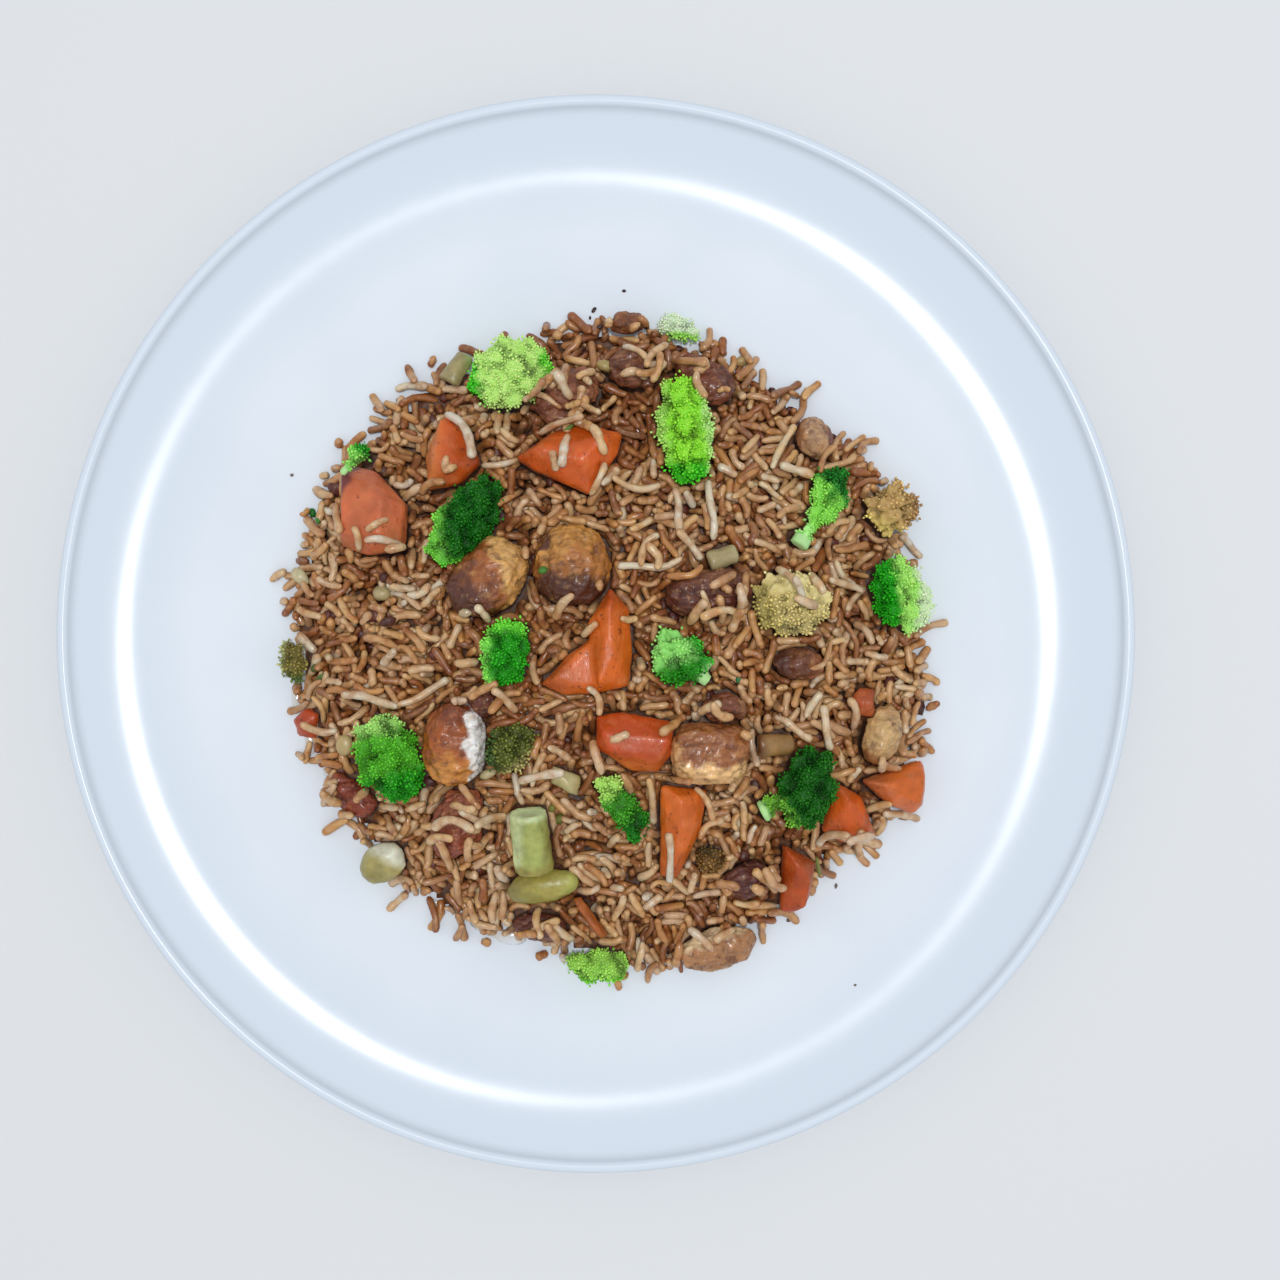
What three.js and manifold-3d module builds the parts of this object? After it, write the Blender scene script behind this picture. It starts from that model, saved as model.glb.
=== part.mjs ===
// A plate of fried rice: a white glazed dinner plate with a heap of rice on it, and in and on
// the heap pieces of broccoli, carrot, browned tofu, meat and cut stems.
// Millimetres, +Z up. The origin is under the middle of the plate, on the table.

import * as THREE from 'three';
import { ConvexGeometry } from 'three/addons/geometries/ConvexGeometry.js';
import { mergeVertices } from 'three/addons/utils/BufferGeometryUtils.js';
import Module from 'manifold-3d';

const wasm = await Module();
wasm.setup();

const GAP = 0.3; // clearance between pieces that rest on each other
const MERGE_DISTANCE = 1e-4; // points nearer than this are one point
const DEGREE = Math.PI / 180;

// ---------------------------------------------------------------- driving dimensions

const PLATE = {
  radius: 136.6,
  height: 15,
  segments: 48,
  thickness: 4,
  lipWidth: 3.2, // a low bead round the edge
  wellZ: 7.5, // glaze under the food
  wellRadius: 106.7, // the wall starts to curve up here
  wallArc: 67, // radius of the curve of the wall
  arcSteps: 5,
  footInner: 80,
  footOuter: 84.5,
};

const HEAP = {
  centre: [4, -2],
  edgeHeight: 4.5, // of the bare core over the well
  peakHeight: 21,
  domePower: 2.3, // higher is flatter in the middle
  coreInset: 3.5, // the core ends this far inside the outline that the grains reach
  rings: 16, // of points on the core
  bump: 1.3, // grains under the surface lift the core by up to this
  // radius that the grains reach, every 15 degrees from +X round to +Y
  reach: [
    83, 80, 85, 80, 81, 82, 85, 83, 85, 86, 87, 86, 85, 85, 84, 86, 85, 82, 87, 88, 85, 83, 89, 85,
  ],
};

const GRAIN = {
  length: 10,
  lengthSpread: 2.5,
  thickness: 2.3,
  bend: 1.3, // how far the middle stands off the line between the ends
  sides: 5,
  atEdge: 54, // lying round the foot of the heap
  onTop: 39, // spread over the heap
};

const COLOURS = {
  plate: { color: 0xe9eef4, roughness: 0.15 },
  rice: { color: 0xb08a66, roughness: 0.6 },
  fresh: { color: 0x4fae2a, roughness: 0.75 },
  cooked: { color: 0x7c7a45, roughness: 0.75 },
  carrot: { color: 0xd4632f, roughness: 0.4 },
  tofu: { color: 0xb97f4c, roughness: 0.5 },
  meat: { color: 0x7d4a38, roughness: 0.55 },
  stem: { color: 0xa9b46c, roughness: 0.45 },
};

// The toppings, those on top first. at: middle, seen from above; size: length, width and
// height; turn: of the length from +X, in degrees; lift: more height than the rest of its
// kind. A cut piece has an outline instead of a size, round its middle, and the points of its
// ridge or top face. A stalk's turn is from its floret's length.

const FRESH_FLORETS = [
  { at: [-21.5, 64.5], size: [22.5, 20, 15], turn: 20, lobes: 7 },
  { at: [22.3, 50], size: [29, 15, 14], turn: 94, lobes: 6 },
  { at: [-31.5, 27.5], size: [25, 14.5, 14], turn: 52, lobes: 6 },
  { at: [-22, -5], size: [18.5, 12.5, 12], turn: 80, lobes: 4 },
  {
    at: [20.5, -6.5],
    size: [16, 14, 12],
    turn: 150,
    lobes: 3,
    stalk: { turn: 175, length: 9, radius: 1.8 },
  },
  { at: [-51, -31], size: [23, 18.5, 15], turn: 115, lobes: 6 },
  { at: [7, -42.5], size: [20, 8.5, 9], turn: 125, lobes: 4 },
  {
    at: [52.5, -38],
    size: [21, 15.5, 14],
    turn: 75,
    lobes: 6,
    stalk: { turn: 135, length: 13, radius: 3 },
  },
  {
    at: [58, 34],
    size: [18, 10, 10],
    turn: 66,
    lobes: 4,
    stalk: { turn: 172, length: 15, radius: 2.6 },
  },
  { at: [76.5, 9.5], size: [19.5, 16.5, 14], turn: 120, lobes: 6 },
  { at: [0.5, -83.5], size: [17.5, 9.5, 10], turn: 0, lobes: 4 },
  { at: [21, 77.5], size: [11.5, 6.5, 7], turn: 155, lobes: 3 },
  {
    at: [-58, 44],
    size: [7, 5, 6],
    turn: 50,
    lift: 10, // it lies on a piece of carrot
    lobes: 3,
    stalk: { turn: 175, length: 6.5, radius: 1.1 },
  },
];

const COOKED_FLORETS = [
  { at: [-21, -28], size: [14, 11.5, 10], turn: 60, lobes: 4 },
  { at: [48.5, 7.5], size: [22, 19, 11], turn: 0, lobes: 6 },
  { at: [74.5, 31.5], size: [16.5, 13.5, 11], turn: 20, lobes: 4 },
  { at: [-76.5, -7], size: [12, 7, 8], turn: 110, lobes: 2 },
  { at: [28.5, -56], size: [8, 7, 7], turn: 0, lobes: 2 },
];

const CARROTS = [
  {
    at: [-36.5, 45],
    height: 12,
    outline: [[0, 10], [6.5, 3], [8.5, -3.5], [3.5, -8.5], [-4.5, -10], [-5.5, -1]],
    top: [[-0.5, 6.5], [-2, -5], [3, -5]],
  },
  {
    at: [-6.5, 42.5],
    height: 13,
    outline: [[-13, 0.5], [-4, 7], [4, 9], [13.5, 6.5], [12.5, 1.5], [5.5, -9], [-2.5, -4.5], [-8.5, -2.5]],
    top: [[-8, 1], [4, -2], [9, 4]],
  },
  {
    at: [-54.5, 31],
    height: 14,
    outline: [[-9, 12], [0, 9.5], [8.5, 0.5], [8, -10.5], [-1, -12], [-8.5, -9.5]],
    top: [[-6.5, 8], [4.5, 1], [4, -8], [-6, -7.5]],
  },
  {
    at: [3.5, -1.5],
    height: 14,
    outline: [[0.5, 13], [5, 7.5], [6, -3], [5, -11.5], [-3, -13], [-5, 4]],
    top: [[0.5, 9], [1.5, -3], [-2, -10]],
    foot: [[-4.5, 0], [-10, -4], [-17, -11], [-11, -13.5], [-2, -13]],
  },
  {
    at: [10, -26],
    height: 12,
    outline: [[-9.5, 6], [-3, 7], [9.5, 4.5], [9, -3], [5.5, -8], [-1, -7.5], [-9.5, -2]],
    top: [[-8, 2.5], [8, 1], [6, -4], [-6, -2]],
  },
  {
    at: [22, -47.5],
    height: 11,
    outline: [[-6, 11], [5.5, 9.5], [4, -1], [-1.5, -13], [-6, -12.5], [-5, 0]],
    top: [[-1.5, 8], [0.5, -2], [-3.5, -9]],
  },
  {
    at: [63.5, -44.5],
    height: 11,
    outline: [[-4, 8], [3, 4], [7.5, -7.5], [-1.5, -8], [-7, -5]],
    top: [[-2, 4.5], [4, -4], [-2, -5]],
  },
  {
    at: [74.5, -38.5],
    height: 12,
    outline: [[-9, 2], [8, 6.5], [8.5, -5], [5.5, -7], [-1, -4.5]],
    top: [[-5, 1.5], [6, 3.5], [5, -3.5]],
  },
  {
    at: [50.5, -61.5],
    height: 11,
    outline: [[-4, 9.5], [4.5, 4.5], [3.5, -5.5], [-1.5, -9.5], [-4, -8.5]],
    top: [[-2, 6], [2, 1.5], [0.5, -6]],
  },
  {
    at: [-73, -22.5],
    height: 8,
    outline: [[-3.5, 1], [0, 4], [3.5, 2.5], [2.5, -4], [-2.5, -3.5]],
    top: [[0, 0]],
  },
  {
    at: [67, -17],
    height: 8,
    outline: [[-1.5, 3.5], [3, 3.5], [2.5, -4], [-2.5, -3], [-3.5, 0.5]],
    top: [[0, 0]],
  },
  {
    at: [-1, -71],
    height: 6,
    outline: [[-5, 5.5], [-2.5, 6], [4.5, -5], [2, -6]],
    top: [[-3, 4], [3, -4]],
  },
];

const TOFU = [
  { at: [-26, 13.5], size: [23, 18, 14], turn: 45 },
  { at: [-5.5, 17], size: [21, 19.5, 15], turn: 90 },
  { at: [-34.5, -27], size: [21.5, 16, 13], turn: 85 },
  { at: [28.5, -29], size: [19.5, 15, 13], turn: 0, squareness: 0.62 },
  { at: [55, 49], size: [12, 9.5, 9], turn: -60 },
  { at: [72, -25], size: [16, 9.5, 9], turn: 75 },
  { at: [31, -79.5], size: [21, 11.5, 9], turn: 10 },
  { at: [50.5, -7.5], size: [12.5, 7.5, 8], turn: 0 },
];

const MEATS = [
  { at: [-7.5, 59.5], size: [18.5, 14, 11], turn: 20 },
  { at: [28, 10], size: [21, 12.5, 12], turn: 5 },
  { at: [9.5, 66.5], size: [13, 10.5, 9], turn: 0 },
  { at: [27, 64], size: [16, 10, 9], turn: -25 },
  { at: [8.5, 78.5], size: [10, 6, 7], turn: 0 },
  { at: [38, -61.5], size: [14.5, 9, 9], turn: 12 },
  { at: [-34, -47], size: [19, 13, 11], turn: 60 },
  { at: [-61, -41], size: [14, 7.5, 8], turn: -35 },
  { at: [-27.5, -16], size: [10, 7, 8], turn: -20 },
  { at: [32, -18.5], size: [12, 6.5, 8], turn: 0 },
  { at: [-14, -74], size: [13.5, 7.5, 8], turn: -10 },
];

// Cut stems, two soft round pieces and a cut block among them.
const STEMS = [
  { at: [-15.5, -51], size: [15.5, 10, 10], turn: 95, taper: 0.92, lift: 3.5 },
  { at: [-13, -63], size: [19.5, 9, 9], turn: 12, round: true },
  { at: [-54, -58], size: [15, 10.5, 8], turn: 35, round: true },
  { at: [31.5, 18.5], size: [7.5, 6, 6], turn: 20, taper: 0.8 },
  { at: [-35, 67], size: [8.5, 6.5, 6], turn: 60, taper: 0.8 },
  { at: [-7, -36], height: 5, outline: [[-3.5, 4], [4, 1], [3, -4], [-4, -1]], top: [[-2.5, 2], [2, -2]] },
  { at: [44.5, -27.5], size: [9, 6, 6], turn: 0, taper: 0.85 },
];

// ---------------------------------------------------------------- small helpers

// Draws numbers from 0 to 1, the same ones for the same seed (mulberry32).
function seededRandom(seed) {
  let state = seed >>> 0;
  return () => {
    state = (state + 0x6d2b79f5) >>> 0;
    let mixed = Math.imul(state ^ (state >>> 15), 1 | state);
    mixed = (mixed + Math.imul(mixed ^ (mixed >>> 7), 61 | mixed)) ^ mixed;
    return ((mixed ^ (mixed >>> 14)) >>> 0) / 4294967296;
  };
}

function toSolid(geometry) {
  const bare = geometry.clone();
  bare.deleteAttribute('normal');
  bare.deleteAttribute('uv');
  const merged = mergeVertices(bare, MERGE_DISTANCE);
  const triVerts = merged.index
    ? Uint32Array.from(merged.index.array)
    : Uint32Array.from({ length: merged.attributes.position.count }, (_, i) => i);
  const vertProperties = Float32Array.from(merged.attributes.position.array);
  return new wasm.Manifold(new wasm.Mesh({ numProp: 3, vertProperties, triVerts }));
}

function toGeometry(solid) {
  const { vertProperties, triVerts } = solid.getMesh();
  const geometry = new THREE.BufferGeometry();
  geometry.setAttribute('position', new THREE.BufferAttribute(vertProperties, 3));
  geometry.setIndex(new THREE.BufferAttribute(triVerts, 1));
  geometry.computeVertexNormals();
  return geometry;
}

// The largest of the loose bodies in a solid: scraps that a cut leaves are dropped.
function largestBody(solid) {
  const bodies = solid.decompose();
  return bodies.reduce((best, body) => (body.volume() > best.volume() ? body : best));
}

function hull(points) {
  return new ConvexGeometry(points.map(([x, y, z]) => new THREE.Vector3(x, y, z)));
}

function namedMesh(name, geometry, look) {
  const mesh = new THREE.Mesh(geometry, new THREE.MeshStandardMaterial({ metalness: 0, ...look }));
  mesh.name = name;
  return mesh;
}

// A closed mesh from a top point, rings of points and a bottom point, each ring turned half a
// step from the one above it.
function roundGeometry(positions, rings, sectors) {
  const at = (ring, sector) => 1 + ring * sectors + (sector % sectors);
  const bottom = positions.length / 3 - 1;
  const index = [];
  for (let sector = 0; sector < sectors; sector += 1) {
    index.push(0, at(0, sector), at(0, sector + 1));
    for (let ring = 0; ring < rings - 1; ring += 1) {
      const [a, b] = [at(ring, sector), at(ring, sector + 1)];
      const [c, d] = [at(ring + 1, sector), at(ring + 1, sector + 1)];
      index.push(...(ring % 2 === 0 ? [a, c, b, b, c, d] : [a, c, d, a, d, b]));
    }
    index.push(bottom, at(rings - 1, sector + 1), at(rings - 1, sector));
  }
  const geometry = new THREE.BufferGeometry();
  geometry.setAttribute('position', new THREE.Float32BufferAttribute(positions, 3));
  geometry.setIndex(index);
  return geometry;
}

// ---------------------------------------------------------------- the plate

// Height of the wall at a radius: an arc round a centre high over the edge of the well. below is
// the depth under the glaze.
function wallHeight(radius, below) {
  const { wellZ, wellRadius, wallArc } = PLATE;
  return wellZ + wallArc - Math.sqrt((wallArc + below) ** 2 - (radius - wellRadius) ** 2);
}

// Points of the wall from one radius to another.
function wallPoints(from, to, below) {
  const { arcSteps } = PLATE;
  return Array.from({ length: arcSteps + 1 }, (_, step) => {
    const radius = THREE.MathUtils.lerp(from, to, step / arcSteps);
    return [radius, wallHeight(radius, below)];
  });
}

function plateGeometry() {
  const { radius, height, thickness, lipWidth, wellZ, wellRadius, footInner, footOuter } = PLATE;
  const underside = wellZ - thickness;
  const lipInside = radius - lipWidth;
  const profile = [
    // underside, from the middle over the foot ring to the edge
    [0, underside],
    [footInner - 1, underside],
    [footInner, 0],
    [footOuter, 0],
    [footOuter + 1.5, underside],
    ...wallPoints(wellRadius, radius - 2, thickness),
    // the lip
    [radius - 0.2, height - 2.6],
    [radius, height - 1.2],
    [radius - 0.7, height - 0.2],
    [radius - 1.6, height],
    [lipInside + 0.7, height - 0.7],
    // the wall down to the well
    ...wallPoints(lipInside, wellRadius, 0),
    [0, wellZ],
  ];
  const points = profile.map(([r, z]) => new THREE.Vector2(r, z));
  // LatheGeometry turns about +Y, so the plate is stood up on +Z
  return new THREE.LatheGeometry(points, PLATE.segments).rotateX(Math.PI / 2);
}

// ---------------------------------------------------------------- the bare core of the heap

// Radius that the grains reach at an angle, between the listed ones.
function heapReach(angle) {
  const count = HEAP.reach.length;
  const place = (((angle / (2 * Math.PI)) % 1) + 1) % 1 * count;
  const before = Math.floor(place) % count;
  const share = place - Math.floor(place);
  return THREE.MathUtils.lerp(HEAP.reach[before], HEAP.reach[(before + 1) % count], share);
}

// Height of the smooth core over the table; outside the heap it is the well's.
function heapHeight(x, y) {
  const dx = x - HEAP.centre[0];
  const dy = y - HEAP.centre[1];
  const reach = heapReach(Math.atan2(dy, dx)) - HEAP.coreInset;
  const fraction = Math.hypot(dx, dy) / reach;
  if (fraction >= 1) {
    return PLATE.wellZ;
  }
  const dome = 1 - fraction ** HEAP.domePower;
  return PLATE.wellZ + HEAP.edgeHeight + (HEAP.peakHeight - HEAP.edgeHeight) * dome;
}

// The core as a dome with a flat floor. Ring k of its surface has 6 k points, so that its
// triangles are about as large as a grain everywhere. grow makes it larger all round.
function coreGeometry(bareSpot, grow) {
  const random = seededRandom(11);
  const { rings, centre, bump } = HEAP;
  const floorZ = PLATE.wellZ + GAP - grow;
  const positions = [centre[0], centre[1], heapHeight(...centre) + grow];
  for (let ring = 1; ring <= rings; ring += 1) {
    const onRim = ring === rings;
    for (let step = 0; step < 6 * ring; step += 1) {
      const angle = (step / (6 * ring)) * 2 * Math.PI;
      const reach = heapReach(angle) - HEAP.coreInset - 0.01;
      const wobble = (random() - 0.5) * (onRim ? 0 : 0.5);
      const lift = (random() * 2 - 1) * bump;
      const out = (reach * (ring + wobble)) / rings;
      const x = centre[0] + out * Math.cos(angle);
      const y = centre[1] + out * Math.sin(angle);
      const z = heapHeight(x, y) + (bareSpot(x, y) ? lift : 0) + grow;
      const outwards = onRim ? grow : 0;
      positions.push(x + outwards * Math.cos(angle), y + outwards * Math.sin(angle), z);
    }
  }
  const rimStart = ringStart(rings);
  const rimCount = 6 * rings;
  for (let step = 0; step < rimCount; step += 1) {
    const rim = 3 * (rimStart + step);
    positions.push(positions[rim], positions[rim + 1], floorZ);
  }
  positions.push(centre[0], centre[1], floorZ);

  const index = ringedDiscIndex(rings);
  const floorStart = rimStart + rimCount;
  const floorMiddle = floorStart + rimCount;
  for (let step = 0; step < rimCount; step += 1) {
    const next = (step + 1) % rimCount;
    index.push(rimStart + step, floorStart + step, floorStart + next);
    index.push(rimStart + step, floorStart + next, rimStart + next);
    index.push(floorMiddle, floorStart + next, floorStart + step);
  }
  const geometry = new THREE.BufferGeometry();
  geometry.setAttribute('position', new THREE.Float32BufferAttribute(positions, 3));
  geometry.setIndex(index);
  return geometry;
}

// Number of the first point of a ring, in a disc of rings with 6, 12, 18 and more points.
function ringStart(ring) {
  return ring === 0 ? 0 : 1 + 3 * ring * (ring - 1);
}

function ringedDiscIndex(rings) {
  const at = (ring, step) => ringStart(ring) + (ring === 0 ? 0 : step % (6 * ring));
  const index = [];
  for (let ring = 1; ring <= rings; ring += 1) {
    for (let sixth = 0; sixth < 6; sixth += 1) {
      for (let step = 0; step < ring; step += 1) {
        const outer = sixth * ring + step;
        const inner = sixth * (ring - 1) + step;
        index.push(at(ring - 1, inner), at(ring, outer), at(ring, outer + 1));
        if (step < ring - 1) {
          index.push(at(ring - 1, inner), at(ring, outer + 1), at(ring - 1, inner + 1));
        }
      }
    }
  }
  return index;
}

// ---------------------------------------------------------------- shapes of the toppings

// Scales a shape to exactly fill its length, width and height.
function fillSize(geometry, size) {
  geometry.computeBoundingBox();
  const { min, max } = geometry.boundingBox;
  const middle = min.clone().add(max).multiplyScalar(0.5);
  const extent = max.clone().sub(min);
  geometry.translate(-middle.x, -middle.y, -middle.z);
  return geometry.scale(size[0] / extent.x, size[1] / extent.y, size[2] / extent.z);
}

// A round lump with an uneven skin, from a ball pushed in and out.
function lumpGeometry(size, { unevenness, squareness = 1, seed }) {
  const random = seededRandom(seed);
  const ball = new THREE.IcosahedronGeometry(1, 1);
  ball.deleteAttribute('normal');
  ball.deleteAttribute('uv');
  const lump = mergeVertices(ball, MERGE_DISTANCE);
  const place = lump.attributes.position;
  for (let i = 0; i < place.count; i += 1) {
    const squared = [place.getX(i), place.getY(i), place.getZ(i)].map(
      (value) => Math.sign(value) * Math.abs(value) ** squareness,
    );
    const reach = 1 - unevenness * random();
    place.setXYZ(i, squared[0] * reach, squared[1] * reach, squared[2] * reach);
  }
  return fillSize(lump, size);
}

// The crown of a floret: a dome whose rim and top are scalloped into lobes.
function crownGeometry(size, lobes, seed) {
  const random = seededRandom(seed);
  const sectors = lobes * (lobes > 4 ? 2 : 3);
  const elevations = [70, 42, 8, -38]; // of the rings of points, in degrees
  const valley = 0.16; // the clefts between the lobes are this much nearer the middle
  const unevenness = 0.08;
  const positions = [0, 0, 0.92];
  elevations.forEach((elevation, ring) => {
    for (let sector = 0; sector < sectors; sector += 1) {
      const angle = ((sector + (ring % 2) / 2) / sectors) * 2 * Math.PI;
      const cleft = 0.5 - 0.5 * Math.cos(lobes * angle + ring);
      const reach = 1 - valley * cleft - unevenness * random();
      const flat = reach * Math.cos(elevation * DEGREE);
      const up = reach * Math.sin(elevation * DEGREE);
      positions.push(flat * Math.cos(angle), flat * Math.sin(angle), up);
    }
  });
  positions.push(0, 0, -0.9);
  return fillSize(roundGeometry(positions, elevations.length, sectors), size);
}

// A floret: its crown, with a stalk where one shows.
function floretSolid({ size, lobes, stalk }, seed) {
  const crown = toSolid(crownGeometry(size, lobes, seed));
  return stalk ? crown.add(stalkSolid(stalk, size[2])) : crown;
}

// The stalk leaves the floret's middle sideways, and leans down a little.
function stalkSolid({ turn, length, radius }, crownHeight) {
  const sides = 7;
  const droop = 8 * DEGREE;
  const rod = new THREE.CylinderGeometry(radius, radius * 0.8, length, sides);
  rod.translate(0, length / 2, 0);
  rod.rotateZ(-Math.PI / 2);
  rod.rotateY(droop);
  rod.rotateZ(turn * DEGREE);
  rod.translate(0, 0, crownHeight * 0.05);
  return toSolid(rod);
}

// A cut piece: sides up to a bevel, and on it the ridge or the top face.
function cutSolid({ height, outline, top, foot }) {
  const narrowing = 0.86; // the underside is smaller than the outline
  const tiers = (points, topZ) => [
    ...points.map(([x, y]) => [x * narrowing, y * narrowing, -height / 2]),
    ...points.map(([x, y]) => [x, y, topZ]),
  ];
  const crest = top.map(([x, y]) => [x, y, height / 2]);
  const solid = toSolid(hull([...tiers(outline, height * 0.12), ...crest]));
  if (!foot) {
    return solid;
  }
  // a lower part of the same piece, sticking out at its side
  const footCrest = foot.map(([x, y]) => [x * 0.75, y * 0.85, height * 0.22]);
  return solid.add(toSolid(hull([...tiers(foot, 0), ...footCrest])));
}

// A length of stem, lying down, with a narrower far end.
function stemSolid({ size: [length, width, height], taper }) {
  const sides = 10;
  const rod = new THREE.CylinderGeometry(0.5 * taper, 0.5, length, sides);
  rod.rotateZ(-Math.PI / 2);
  rod.scale(1, width, height);
  return toSolid(rod);
}

function stemOrPieceSolid(spec, seed) {
  if (spec.outline) {
    return cutSolid(spec);
  }
  return spec.round ? toSolid(lumpGeometry(spec.size, { unevenness: 0.06, seed })) : stemSolid(spec);
}

// ---------------------------------------------------------------- placing the toppings

// How far a topping leans, so that it lies along the surface of the heap.
function leanAt(x, y) {
  const step = 6;
  const slopeX = (heapHeight(x + step, y) - heapHeight(x - step, y)) / (2 * step);
  const slopeY = (heapHeight(x, y + step) - heapHeight(x, y - step)) / (2 * step);
  const steepest = 0.45;
  const steepness = Math.hypot(slopeX, slopeY);
  const kept = steepness > steepest ? steepest / steepness : 1;
  const normal = new THREE.Vector3(-slopeX * kept, -slopeY * kept, 1).normalize();
  return new THREE.Quaternion().setFromUnitVectors(new THREE.Vector3(0, 0, 1), normal);
}

// Lays a topping on the heap at its place, and never below the well.
function placed(solid, { at: [x, y], turn = 0, lift = 0 }, sink) {
  const height = solid.boundingBox().max[2] - solid.boundingBox().min[2];
  const turned = new THREE.Quaternion().setFromAxisAngle(new THREE.Vector3(0, 0, 1), turn * DEGREE);
  const matrix = new THREE.Matrix4().compose(
    new THREE.Vector3(x, y, 0),
    leanAt(x, y).multiply(turned),
    new THREE.Vector3(1, 1, 1),
  );
  const leaning = solid.transform(matrix.elements);
  const onHeap = heapHeight(x, y) + height * (0.5 - sink) + lift;
  const onWell = PLATE.wellZ + GAP - leaning.boundingBox().min[2];
  return leaning.translate([0, 0, Math.max(onHeap, onWell)]);
}

// A slightly larger copy, to cut away what a piece would press into.
function grown(solid) {
  const { min, max } = solid.boundingBox();
  const middle = min.map((low, axis) => (low + max[axis]) / 2);
  const scale = min.map((low, axis) => (max[axis] - low + 3 * GAP) / (max[axis] - low));
  return solid
    .translate(middle.map((value) => -value))
    .scale(scale)
    .translate(middle);
}

function boxesMeet(a, b) {
  const [boxA, boxB] = [a.boundingBox(), b.boundingBox()];
  return [0, 1, 2].every((axis) => boxA.min[axis] < boxB.max[axis] && boxB.min[axis] < boxA.max[axis]);
}

const numbered = (word, index) => `${word}_${String(index + 1).padStart(2, '0')}`;

function allToppings() {
  const lump = (unevenness) => (spec, seed) =>
    toSolid(lumpGeometry(spec.size, { unevenness, squareness: spec.squareness, seed }));
  const families = [
    { word: 'fresh_floret', look: COLOURS.fresh, specs: FRESH_FLORETS, make: floretSolid, sink: 0.22 },
    { word: 'carrot', look: COLOURS.carrot, specs: CARROTS, make: cutSolid, sink: 0.36 },
    { word: 'stem', look: COLOURS.stem, specs: STEMS, make: stemOrPieceSolid, sink: 0.35 },
    { word: 'tofu', look: COLOURS.tofu, specs: TOFU, make: lump(0.1), sink: 0.38 },
    { word: 'cooked_floret', look: COLOURS.cooked, specs: COOKED_FLORETS, make: floretSolid, sink: 0.38 },
    { word: 'meat', look: COLOURS.meat, specs: MEATS, make: lump(0.18), sink: 0.4 },
  ];
  return families.flatMap(({ word, look, specs, make, sink }, family) =>
    specs.map((spec, index) => ({
      name: numbered(word, index),
      look,
      solid: placed(make(spec, 1000 * (family + 1) + 20 * index), spec, sink),
    })),
  );
}

// Each topping gives way to those listed before it, and to the core it rests on.
function fitToppings(toppings, coreCutter) {
  const cutters = [];
  return toppings.map(({ name, look, solid }) => {
    const met = cutters.filter((cutter) => boxesMeet(cutter, solid));
    const cut = [...met, coreCutter].reduce((rest, cutter) => rest.subtract(cutter), solid);
    const fitted = largestBody(cut);
    cutters.push(grown(fitted));
    return { name, look, solid: fitted, cutter: cutters.at(-1) };
  });
}

// ---------------------------------------------------------------- grains fused to the core

// A grain of long rice, bent a little, with pointed ends; it lies along +X.
function grainGeometry(length, bend) {
  const { thickness, sides } = GRAIN;
  const stations = [-0.36, 0, 0.36];
  const centreAt = (t) => [t * length, bend * (1 - 4 * t * t)];
  const positions = [];
  stations.forEach((t) => {
    const [x, y] = centreAt(t);
    const radius = (thickness / 2) * (t === 0 ? 1 : 0.88);
    for (let side = 0; side < sides; side += 1) {
      const angle = (side / sides) * 2 * Math.PI;
      positions.push(x, y + radius * Math.cos(angle), radius * Math.sin(angle));
    }
  });
  const startTip = positions.length / 3;
  positions.push(...centreAt(-0.5), 0, ...centreAt(0.5), 0);
  const index = [];
  for (let side = 0; side < sides; side += 1) {
    const next = (side + 1) % sides;
    index.push(startTip, next, side);
    for (let ring = 0; ring < stations.length - 1; ring += 1) {
      const [a, b] = [ring * sides + side, ring * sides + next];
      index.push(a, b, b + sides, a, b + sides, a + sides);
    }
    const lastRing = (stations.length - 1) * sides;
    index.push(startTip + 1, lastRing + side, lastRing + next);
  }
  const geometry = new THREE.BufferGeometry();
  geometry.setAttribute('position', new THREE.Float32BufferAttribute(positions, 3));
  geometry.setIndex(index);
  return geometry;
}

function grainSolid(random, { x, y, z, turn, pitch }) {
  const length = GRAIN.length + (random() * 2 - 1) * GRAIN.lengthSpread;
  const bend = GRAIN.bend * (random() * 2 - 1);
  const grain = grainGeometry(length, bend);
  grain.rotateX((random() - 0.5) * Math.PI);
  grain.rotateY(-pitch);
  grain.rotateZ(turn);
  grain.translate(x, y, z);
  return toSolid(grain);
}

// Places round the foot of the heap: half of a grain is in the core and half outside.
function edgePlace(random, index) {
  const angle = ((index + random() * 0.8) / GRAIN.atEdge) * 2 * Math.PI;
  const out = heapReach(angle) - HEAP.coreInset - random();
  const lowest = PLATE.wellZ + GAP + GRAIN.thickness / 2 + 0.1;
  const fan = 1.6; // radians between the grains that turn most to either side
  return {
    x: HEAP.centre[0] + out * Math.cos(angle),
    y: HEAP.centre[1] + out * Math.sin(angle),
    z: lowest + random() * (HEAP.edgeHeight - 2),
    turn: angle + (random() - 0.5) * fan,
    pitch: 0,
  };
}

// Places over the heap, as evenly spread as the seeds of a sunflower.
function topPlace(random, index) {
  const goldenTurn = 137.5 * DEGREE;
  const scatter = 4;
  const angle = index * goldenTurn;
  const share = Math.sqrt((index + 0.5) / GRAIN.onTop);
  const out = share * (heapReach(angle) - HEAP.coreInset - scatter);
  const x = HEAP.centre[0] + out * Math.cos(angle) + (random() - 0.5) * scatter;
  const y = HEAP.centre[1] + out * Math.sin(angle) + (random() - 0.5) * scatter;
  return {
    x,
    y,
    z: heapHeight(x, y) + 0.25 * GRAIN.thickness,
    turn: random() * 2 * Math.PI,
    pitch: (random() - 0.5) * 0.3,
  };
}

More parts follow.
